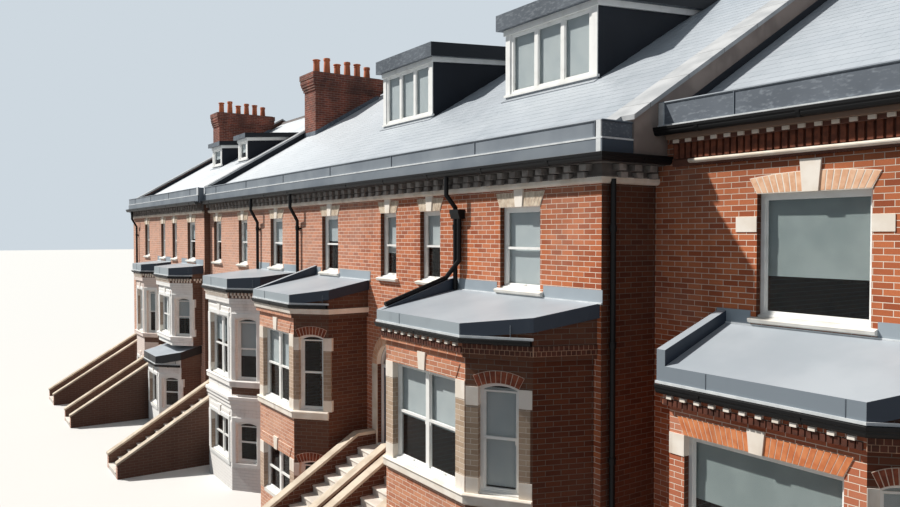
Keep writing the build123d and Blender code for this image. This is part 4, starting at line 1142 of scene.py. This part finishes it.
white_paint = painted_timber("white_paint", (243, 243, 240), (222, 221, 216))
dress(white_paint, "window_frames", "bay_frames", "rear_frames", "dormer_frames", "dormer_fascias",
      "door_frames")
dress(dormer_front_finish(), "dormer_fronts")
dress(navy_lead, "dormer_cheeks")
# The dormer roof's sides that face along the row are darkened with painted shade.
dress(sheet_lead("dormer_lead", (94, 101, 109), (78, 85, 93), 0.3, sides=(22, 26, 33)), "dormer_roofs")
dormer_windows = seats("dormer_frames", inset=dormer_frame_inset)
boards = []
aprons = []
for face in dormer_windows:
    for left in (-board_reach, face.width + 0.03):
        boards.append(blocks(face, left, left + board_width, -0.02, face.height, -0.01, 0.024))
    sill = (-board_sill_reach, face.width + board_sill_reach)
    boards.append(blocks(face, *sill, board_sill_foot, 0.0, -0.02, 0.06))
    aprons.append(blocks(face, -board_reach, face.width + board_reach, apron_foot, board_sill_foot,
                         -0.01, 0.012))
    foot = Face(face.at(0.0, -0.105, 0.0), (1, 0, 0), (0, slope_run, slope_rise))
    aprons.append(blocks(foot, *sill, apron_foot, 0.03, -0.002, 0.018))
piece("dormer_boards", boards, white_paint)
piece("dormer_aprons", aprons, sheet_lead("apron_lead", (168, 174, 180), (146, 152, 159)))

# Windows. Painted sliding sashes: an upper sash in front of the lower one, with bevelled putty edges, horns
# and a lift, in box frames. Plain roller blinds hang behind the glass.
glass_inset = 0.144
dormer_glass_inset = 0.04
frame_bar = 0.06
meeting_rail = 0.045
mullion = 0.11
sash_edge = 0.034
wide_light = 1.2
wide_dormer = 1.5
narrow_line = 7.2
hung_bay_foot = 3.15
widest_architrave = 0.13
blind_gap = 0.045
blind_margin = 0.03
blind_sway = 0.002
drops = (0.62, 0.50, 0.95, 0.55, 0.45)
end_drop = 0.665
full_drop = 0.94
small_dormer_drop = 0.6
near_line = 8.0
bare_cant = (1.0, 6.0)


def window_glass():
    """Sheet glass: mostly clear, dark by itself, with a mirror-like surface."""
    return Finish("window_glass").done(shade((14, 20, 24)), 0.03, Alpha=0.16, IOR=1.6)


def ring(face, u0, u1, v0, v1, section):
    """A frame round a rectangle: its section of (inwards, outwards) points is carried round the corners."""
    return carried(face, [(u0, v0), (u0, v1), (u1, v1), (u1, v0)], section, closed=True)


def sashes(face, columns, rows, rise=0.0, inset=glass_inset):
    """Stiles and rails planted round each pair of sashes, with horns at the meeting rail, a lift on the
    lower rail and a sloping timber sill under the frame."""
    parts = []
    bar = (face.width - 2 * frame_bar - (columns - 1) * mullion) / columns
    middle = frame_bar + (face.height - 2 * frame_bar - (rows - 1) * meeting_rail) / rows
    front = -inset + 0.022
    section = [(-0.001, -inset + 0.001), (sash_edge, -inset + 0.001), (sash_edge * 0.85, front - 0.006),
               (sash_edge * 0.7, front), (-0.001, front)]
    if inset == glass_inset:
        slope = [(-frame_inset - 0.01, 0.0), (-0.04, 0.0), (-0.034, 0.026), (-frame_inset - 0.01, 0.05)]
        parts.append(prisms(Face(face.origin, face.out), [slope], -face.width + 0.001, -0.001))
    for column in range(columns):
        left = frame_bar + column * (bar + mullion)
        parts.append(ring(face, left, left + bar, frame_bar, face.height - frame_bar - rise, section))
        if rows > 1:
            for horn in (left + 0.002, left + bar - 0.036):
                parts.append(blocks(face, horn, horn + 0.034, middle - 0.07, middle + 0.01,
                                    -inset + 0.002, -inset + 0.034))
            centre = left + bar / 2
            parts.append(blocks(face, centre - 0.045, centre + 0.045, frame_bar + 0.012, frame_bar + 0.03,
                                -inset + 0.012, -inset + 0.04))
    return parts


def bay_lights(face):
    """Two sashes side by side in a bay's front, but one plain light in the end bay and the garden bay."""
    garden = narrow_line < face.origin[0] - row_start < terrace_line and face.origin[2] < hung_bay_foot
    if is_cant(face):
        return 1, 2, face.width * cant_rise_share
    return (1, 1) if garden or in_end_house(face) else (2, 2)


def cloth_finish(name, tone, fold):
    """Plain blind cloth: a fine weave and a soft unevenness."""
    finish = Finish(name)
    return finish.done(finish.mix(finish.noise(2.0, 3.0).ramp(0.3, 0.7), tone, fold), 0.9,
                       finish.noise(420.0, 1.0), 0.0004)


def hanging_cloth(face, u0, u1, v0, v1, depth):
    """Cloth on a grid of nine by seven points: its depth sways by one turn of a cosine across it."""
    u = np.linspace(u0, u1, 9)[:, None]
    sway = blind_sway * np.cos(np.linspace(0, 2 * math.pi, 9))[:, None]
    return face.at(u, np.linspace(v0, v1, 7), depth + sway), [skin(9, 7, columns_close=False)]


dress(window_glass(), "window_glass", "bay_glass", "rear_glass", "dormer_glass", "fanlights")
sash_parts = []
for face in upper_windows:
    sash_parts += sashes(face, 1, 1 if in_end_house(face) and face.width > wide_light else 2)
for face in rear_windows:
    sash_parts += sashes(face, 1, 2)
for face in bay_windows:
    sash_parts += sashes(face, *bay_lights(face))
piece("sash_edges", sash_parts, white_paint)
dormer_sashes = []
for face in dormer_windows:
    dormer_sashes += sashes(face, 3 if face.width > wide_dormer else 1, 1, inset=dormer_glass_inset)
piece("dormer_sash_edges", dormer_sashes, white_paint)
architraves = []
for face in bay_windows:
    if any(start < face.origin[0] - row_start < end for start, end, paint in painted_bays):
        wide = min(widest_architrave, pier(face, 0), pier(face, 1))
        section = [(-wide, -0.01), (0.0, -0.01), (0.0, 0.026), (-0.02, 0.032), (-wide + 0.02, 0.032),
                   (-wide, 0.02)]
        architraves.append(ring(face, 0.0, face.width, 0.0, face.height, section))
piece("bay_architraves", architraves, white_paint)
blind_cloth = cloth_finish("blind_cloth", (232, 244, 246), (218, 232, 236))
end_cloth = cloth_finish("end_cloth", (186, 202, 202), (170, 187, 187))
number = 0
for carrier, group in (("window_frames", upper_windows), ("bay_frames", bay_windows),
                       ("dormer_frames", dormer_windows)):
    for face in group:
        if face.origin[2] < hung_bay_foot - 0.1:
            continue
        number += 1
        if is_cant(face) and bare_cant[0] < face.origin[0] < bare_cant[1]:
            continue
        beyond = in_end_house(face) and face.width > wide_light
        drop = end_drop if beyond else drops[number % len(drops)]
        depth = -glass_inset - blind_gap
        if is_cant(face) and face.origin[0] > near_line:
            drop = full_drop
        if group is dormer_windows:
            drop = full_drop if face.width > wide_dormer else small_dormer_drop
            depth = -dormer_glass_inset - blind_gap
        low = face.height * (1 - drop)
        high = face.height - blind_margin - (face.width * cant_rise_share if is_cant(face) else 0.0)
        wide = face.width - 2 * blind_margin
        cloth = hanging_cloth(face, blind_margin, blind_margin + wide, low, high, depth)
        blind = piece(f"blind_{number}", [cloth], end_cloth if beyond else blind_cloth)

# Doors. Panelled timber leaves in round-headed frames, under a fanlight, with bolection mouldings round the
# panels, a plain knob, a letter plate and a stone threshold.
door_spring = 1.825
door_stile = 0.11
door_inset = 0.14
panel_levels = ((0.08, 0.42), (0.52, 0.92))
jamb_width = 0.24


def metal(name, tone, other, rough):
    """Polished metal with a faintly uneven surface."""
    finish = Finish(name)
    cloud = finish.noise(20.0, 2.0)
    return finish.done(finish.mix(cloud, tone, other), rough + cloud * 0.1, Metallic=1.0)


door_paint = painted_timber("door_paint", (42, 58, 76), (34, 44, 56))
dress(door_paint, "door_leaves")
front = -door_inset
bolection = [(-0.012, front - 0.014), (0.022, front - 0.014), (0.016, front + 0.002), (0.0, front + 0.010),
             (-0.012, front + 0.004)]
knob = [(0.0, front), (0.012, front), (0.012, front + 0.03), (0.032, front + 0.045), (0.034, front + 0.06),
        (0.022, front + 0.075), (0.0, front + 0.08)]
mouldings = []
brass = []
jambs = []
thresholds = []
for face in doors:
    panel = (face.width - 2 * frame_bar - 3 * door_stile) / 2
    for column in range(2):
        left = frame_bar + door_stile + column * (panel + door_stile)
        for low, high in panel_levels:
            levels = (door_spring * low, door_spring * high)
            mouldings.append(ring(face, left, left + panel, *levels, bolection))
    centre = face.width / 2
    brass.append(blocks(face, centre - 0.13, centre + 0.13, door_spring * 0.445, door_spring * 0.49,
                        front - 0.002, front + 0.008))
    brass.append(revolved(face, centre, door_spring * 0.53, knob, 16, closed=False))
    for left, right in ((-jamb_width, -0.002), (face.width + 0.002, face.width + jamb_width)):
        jambs.append(blocks(face, left, right, 0.0, face.height - face.width / 2 - 0.004, -0.06, 0.018))
    thresholds.append(blocks(face, 0.0, face.width, 0.0, 0.035, -0.16, 0.02))
piece("door_mouldings", mouldings, door_paint)
piece("door_jambs", jambs, cream_stone)
piece("thresholds", thresholds, white_stone)
piece("door_furniture", brass, metal("old_brass", (190, 150, 80), (172, 135, 72), 0.28))

# Steps. Solid stone treads with a rounded nosing over each riser, a landing at the hall door, and brick wing
# walls with stone copings that follow the flight.
step_count = 14
hall_floor = 2.37
step_going = 0.28
landing_depth = 0.50
flight_width = 1.15
tread_thickness = 0.045
nosing = 0.022
nosing_radius = 0.02
riser = hall_floor / step_count
stone_tread = masonry("stone_tread", (224, 218, 210), (202, 194, 184), (150, 138, 128), 2.0)
dress(stone_tread, "steps_odd", "steps_even", "landings")
dress(brick("wing_brick", (190, 110, 78), brick_dark, mortar), "wing_walls")
dress(masonry("wing_coping_stone", (206, 194, 176), (182, 168, 150), (120, 108, 96), 2.5), "wing_copings")
treads = []
for face in doors:
    side = Face(face.at(face.width / 2, -hall_floor, 0.0), face.out)
    for number in range(step_count):
        level = hall_floor - number * riser
        front = landing_depth + step_going * number
        back = 0.0 if number == 0 else front - step_going
        section = [(back, level - 0.002), (front - 0.01, level - tread_thickness)]
        section += arc((front + nosing - nosing_radius, level - nosing_radius), nosing_radius, -70, 80, 5)
        section += [(back, level + 0.004)]
        treads.append(prisms(side, [section], -flight_width / 2 + 0.002, flight_width / 2 - 0.002))
piece("step_treads", treads, stone_tread)

# Bay roofs. Sheet lead on boards that falls to the street, with a fascia of the same lead below, a pale drip
# at its foot, upright joints, a kerb on the left, and a flashing tucked into the brickwork above.
bay_roof_reach = 0.13
bay_frieze_reach = 0.07
bay_gutter_height = 0.09
end_gutter_height = 0.14
bay_welt_spacing = 1.9
flashing_tall = 0.21
garden_roof_top = 3.3
cover_low = 0.042


def bay_roof_finish():
    """Lead: pale and softly clouded on the roof, blue-grey on the front, and near navy on the turned sides,
    which is painted shade.
    """
    finish = Finish("bay_roof_lead")
    normal = finish.normal
    cloud = finish.noise(0.8, 4.0)
    stain = finish.noise(3.0, 4.0, stretch=(1.0, 1.0, 0.3))
    top = finish.mix(cloud.ramp(0.3, 0.7), (172, 179, 186), (156, 164, 172))
    front = finish.mix(cloud, (164, 174, 180), (146, 156, 163))
    front = finish.mix(finish.point.part(0) > end_line, front, (126, 136, 145))
    # Painted shade: the turned sides are near navy.
    side = finish.mix((normal.part(0) * normal.part(0)).ramp(0.03, 0.14), front, (44, 54, 68))
    side = finish.mix(stain.ramp(0.6, 0.85) * 0.25, side, (96, 104, 112))
    side = finish.mix(finish.point.part(2) < garden_roof_top, side, (20, 20, 24))
    colour = finish.mix(normal.part(2).ramp(0.55, 0.8), side, top)
    return finish.done(colour, 0.36 + cloud * 0.14, finish.noise(2.2, 2.0), 0.004, Specular_IOR_Level=0.3)


def bay_outlines():
    """Each bay roof's plan outline from its left end at the wall round to its right end, its eaves level,
    its top level at the front corner and its top level at the wall: points are sorted by angle about their
    mean, and those in line with their neighbours are dropped."""
    result = []
    for points in solids("bay_roofs"):
        points = points - (row_start, street_line, 0)
        plan = np.unique(points[:, :2].round(3), axis=0)
        turn = np.arctan2(*(plan - plan.mean(axis=0)).T[::-1])
        plan = plan[np.argsort(turn)]
        before = plan - np.roll(plan, 1, axis=0)
        after = np.roll(plan, -1, axis=0) - plan
        plan = plan[before[:, 0] * after[:, 1] - before[:, 1] * after[:, 0] > 1e-4]
        first = np.lexsort((plan[:, 0], -plan[:, 1].round(2)))[0]
        plan = np.roll(plan, -first, axis=0)
        near = [abs(points[:, :2] - spot).max(axis=1) < 0.01 for spot in plan[[2, -1]]]
        result.append((plan, points[:, 2].min(), points[near[0], 2].max(), points[near[1], 2].max()))
    return result


def between_windows(left, right, level):
    """The stretches of a wall from left to right that no window's sill interrupts just above the level."""
    stops = [left]
    for face in upper_windows:
        start = face.origin[0] - row_start - sill_horn
        if left < start < right and face.origin[2] - level < flashing_tall + sill_height:
            stops += [start, start + face.width + 2 * sill_horn]
    return list(zip(stops[::2], stops[1::2] + [right])) if len(stops) % 2 else [(left, right)]


dress(bay_roof_finish(), "bay_roofs")
bay_roofs = bay_outlines()
roof_trim = []
roof_welts = []
roof_flashings = []
bay_troughs = []
for plan, eaves, top, wall_top in bay_roofs:
    roof_trim.append(carried(ground, plan[:4], strip(0.016, eaves + 0.004, eaves + cover_low)))
    roof_welts += welts(plan[1:4], bay_welt_spacing, eaves + cover_low, top - 0.004, 0.014, 0.007)
    wall = Face(ground.at(0.0, plan[0, 1], 0.0), (1, 0, 0))
    left = plan[0, 0] - 0.02
    right = plan[-1, 0] + 0.06
    for start, end in between_windows(left, right, wall_top):
        levels = (wall_top - 0.02, wall_top + flashing_tall)
        roof_flashings.append(blocks(wall, start, end, *levels, -0.004, 0.008))
    roof_trim.append(blocks(wall, left, right, wall_top - 0.01, wall_top + 0.012, 0.0, 0.03))
    path = (plan - bay_roof_reach * mitres(plan))[1:4]
    path[0, 0] = plan[1, 0]
    tall = end_gutter_height if plan[0, 0] > terrace_end else bay_gutter_height
    bay_troughs += gutter(path, bay_frieze_reach, eaves - tall, tall)
piece("bay_roof_trim", roof_trim, trim_white)
piece("bay_roof_joints", roof_welts, bay_roof_finish())
flashing_lead = sheet_lead("flashing_lead", (164, 174, 182), (146, 157, 166))
piece("bay_roof_flashings", roof_flashings, flashing_lead)
piece("bay_ogee_gutters", bay_troughs, iron, ["bay_gutters"])

# Bay friezes. Under each gutter a course of small blocks: pale stone ones on the fronts, and bricks on end
# with pale joints round the canted sides, or a boarded fascia. Mouldings follow the sill bands.
dentil_pitch = 0.235
dentil_block = 0.11
dentil_tall = 0.15
soldier_pitch = 0.086
soldier_joint = 0.012
board_tall = 0.12
boarded = (21.3, 21.5)
corbelled = (15.5, 17.5)
corbel = [(-0.01, 2.36), (0.03, 2.36), (0.03, 2.44), (0.07, 2.50), (0.07, 2.58), (0.11, 2.62), (0.11, 2.70),
          (-0.01, 2.72)]
timber_bay = 8.869
timber_sill = 3.5
hall_sill = 3.16
pale_blocks = []
brick_blocks = []
strings = []
beds_below = []
band_noses = []
for plan, eaves, top, wall_top in bay_roofs:
    if eaves < hung_bay_foot:
        continue
    place = plan[0, 0]
    walls = (plan - bay_roof_reach * mitres(plan))[1:4]
    sill = timber_sill if abs(place - timber_bay) < 0.05 else hall_sill
    nose = [(0.02, sill - 0.05)] + arc((0.07, sill - 0.025), 0.02, -80, 80, 5) + [(0.02, sill + 0.004)]
    band_noses.append(carried(ground, walls, nose))
    if corbelled[0] < place < corbelled[1]:
        band_noses.append(carried(ground, walls, corbel))
    cove = [(0.02, sill - 0.19), (0.04, sill - 0.19), (0.066, sill - 0.163), (0.02, sill - 0.163)]
    band_noses.append(carried(ground, walls, cove))
    frieze = plan - (bay_roof_reach - bay_frieze_reach) * mitres(plan)
    high = eaves - (end_gutter_height if place > terrace_end else bay_gutter_height) - 0.006
    low = high - dentil_tall
    half = high - dentil_tall / 2
    if boarded[0] < place < boarded[1]:
        strings.append(carried(ground, frieze, [(-0.02, high - board_tall), (0.03, high - board_tall),
                                                (0.045, high - 0.03), (0.06, high), (-0.02, high)]))
        continue
    if any(start < place < end for start, end, paint in painted_bays):
        sizes = (dentil_pitch / 2, dentil_block / 2)
        pale_blocks += row_of_blocks(frieze[1:], *sizes, half, high, -0.02, 0.05)
        pale_blocks += row_of_blocks(frieze[1:], *sizes, low, half, -0.02, 0.025, dentil_pitch / 4)
        continue
    front = frieze[1:3]
    pale_blocks += row_of_blocks(front, dentil_pitch, dentil_block * 0.8, high - 0.05, high, -0.02, 0.055)
    brick_blocks += row_of_blocks(front, soldier_pitch, soldier_pitch - 0.02, low, high - 0.055, -0.02, 0.03)
    for here, there in zip(frieze[2:], frieze[3:]):
        long = math.dist(here, there)
        fitted = long / round(long / soldier_pitch)
        inwards = (there - here) * fitted / 2 / long
        upper = (half + 0.005, high)
        lower = (low, half - 0.005)
        for ends, pitch, levels in (((here, there), fitted, upper),
                                    ((here + inwards, there - inwards), fitted, lower),
                                    ((here, here + inwards), fitted / 2, lower),
                                    ((there - inwards, there), fitted / 2, lower)):
            brick_blocks += row_of_blocks(ends, pitch * 0.9999, pitch - soldier_joint, *levels, -0.02, 0.02)
    beds_below.append(carried(ground, frieze[2:], strip(0.014, low - 0.008, high, back=-0.02)))
piece("bay_dentils", pale_blocks, block_stone)
# The soldiers are dark brick, darkened with painted shade under the gutter.
piece("bay_soldiers", brick_blocks, masonry("shaded_frieze_brick", (98, 56, 42), (72, 42, 32), (48, 30, 26), 8.0))
piece("bay_strings", strings, block_stone)
# The frieze's mortar is darker than the wall's, as painted shade under the gutter.
shaded_frieze_mortar = masonry("shaded_frieze_mortar", (208, 172, 146), (188, 150, 124), (130, 100, 84), 6.0)
piece("frieze_joints", beds_below, shaded_frieze_mortar)
piece("band_mouldings", band_noses, block_stone)

# Rainwater pipes. Black cast-iron pipes in six-foot lengths, each with a socket at its head, held off the
# wall by eared brackets that are screwed into the brickwork.
pipe_radius = 0.045
pipe_wall_gap = 0.04
socket_spacing = 1.83
bracket_half = 0.10
pipe_places = [(1.10, -pair_forward, 7.3, 0.4), (17.2, 0.0, 7.5, 6.6), (20.39, 0.0, 7.5, 0.4),
               (28.285, 0.0, 7.45, 6.6)]
return_pipe = (terrace_end + pipe_wall_gap + pipe_radius, 0.17)
return_levels = (7.4, 0.5)
dress(iron, "downpipes")
sockets = []
for x, wall_y, high, low in pipe_places:
    wall = Face(ground.at(0.0, wall_y, 0.0), (1, 0, 0))
    for level in np.arange(high, low, -socket_spacing):
        socket = [(pipe_radius - 0.01, level - 0.05), (pipe_radius + 0.010, level - 0.05),
                  (pipe_radius + 0.012, level + 0.035), (pipe_radius + 0.018, level + 0.04),
                  (pipe_radius + 0.018, level + 0.055), (pipe_radius - 0.01, level + 0.055)]
        sockets.append(revolved(ground, x, wall_y - pipe_radius - pipe_wall_gap, socket, 16))
        bracket = (x - bracket_half, x + bracket_half, level - 0.03, level + 0.01)
        sockets.append(blocks(wall, *bracket, 0.0, 0.035))
for level in np.arange(*return_levels, -socket_spacing):
    socket = [(0.035, level - 0.05), (0.056, level - 0.05), (0.060, level + 0.05), (0.035, level + 0.05)]
    sockets.append(revolved(ground, *return_pipe, socket, 16))
piece("pipe_sockets", sockets, iron)

# Floors. Softwood boards nailed on joists over the rooms, and a solid stone floor at the bottom. They show
# dimly through the windows.
floor_board = 0.14


def floor_boards():
    """Softwood boards along the row, each of its own brown, with dark joints."""
    finish = Finish("floor_boards")
    y = finish.point.part(1)
    place = finish.maths("FLOOR", y / floor_board)
    own = finish.node("ShaderNodeTexWhiteNoise", {"noise_dimensions": "1D"}, {"W": place})
    seam = y.seam(floor_board, 0.003)
    grain = finish.noise(9.0, 4.0, stretch=(0.3, 6.0, 6.0))
    colour = finish.mix(own * 0.6 + grain * 0.4, (48, 34, 24), (34, 24, 18))
    return finish.done(finish.mix(seam, colour, (30, 22, 18)), 0.6, grain - seam, 0.001)


dress(floor_boards(), "attic_floors", "upper_floors", "hall_floors", "bay_floors")
dress(masonry("solid_floor", (160, 156, 150), (140, 136, 130), (96, 92, 88)), "lower_floors")

# The setting: a plain pale floor, a pale sky for the camera, glass and metal alone, soft light from all
# round and one sun from the left, halfway up the sky and a little ahead of the eye.
floor_half = 400.0
soft_sky = (0.80, 0.90, 1.0, 1.0)
soft_strength = 0.27
sun_strength = 5.2
sun_spread = 1.5
sun_side = (-1.15, -1.0, 1.6)
eye_place = (21.37, -14.0825, 7.3)
eye_yaw = math.radians(56.0)
eye_pitch = math.radians(-1.368)
ray_kinds = ("Is Camera Ray", "Is Glossy Ray", "Is Transmission Ray")
focal_pixels = 772
picture_width = 900
film_width = 36


def seen_rays(finish):
    """1 for the rays of the camera, of mirrors and through glass, and 0 for those of the soft light."""
    rays = finish.node("ShaderNodeLightPath").socket.node.outputs
    camera, glossy, through = [Wire(finish, rays[name]) for name in ray_kinds]
    return finish.maths("MAXIMUM", finish.maths("MAXIMUM", camera, glossy), through)


def placed(name, data):
    """An object of the setting, linked into the scene."""
    thing = bpy.data.objects.new(name, data)
    bpy.context.collection.objects.link(thing)
    return thing


ground_mesh = bpy.data.meshes.new("floor")
corners = [(x * floor_half, y * floor_half, 0) for x, y in ((-1, -1), (1, -1), (1, 1), (-1, 1))]
ground_mesh.from_pydata(corners, [], [(0, 1, 2, 3)])
floor_finish = Finish("floor_finish")
ground_mesh.materials.append(floor_finish.done(
    floor_finish.mix(seen_rays(floor_finish), (92, 92, 94), (214, 214, 212)), 0.9))
floor = placed("floor", ground_mesh)

world = bpy.data.worlds.new("sky")
bpy.context.scene.world = world
sky = Finish("sky", world)
soft = sky.node("ShaderNodeBackground", {}, {"Color": soft_sky, "Strength": soft_strength})
pale = sky.node("ShaderNodeBackground", {}, {"Color": shade((206, 216, 224)), "Strength": 1.0})
both = sky.node("ShaderNodeMixShader", {}, {0: seen_rays(sky), 1: soft, 2: pale})
sky.node("ShaderNodeOutputWorld", {}, {"Surface": both})

sun = bpy.data.lights.new("sun", "SUN")
sun.energy = sun_strength
sun.angle = math.radians(sun_spread)
sun.color = (1.0, 0.96, 0.90)
placed("sun", sun).rotation_euler = Vector(sun_side).to_track_quat("Z", "Y").to_euler()

camera = bpy.data.cameras.new("camera")
camera.sensor_width = film_width
camera.lens = focal_pixels / picture_width * film_width
camera.clip_end = 900
eye = placed("camera", camera)
look = Vector((-math.sin(eye_yaw) * math.cos(eye_pitch), math.cos(eye_yaw) * math.cos(eye_pitch),
               math.sin(eye_pitch)))
eye.location = eye_place
eye.rotation_euler = look.to_track_quat("-Z", "Y").to_euler()
bpy.context.scene.camera = eye
bpy.context.scene.view_settings.view_transform = "Standard"
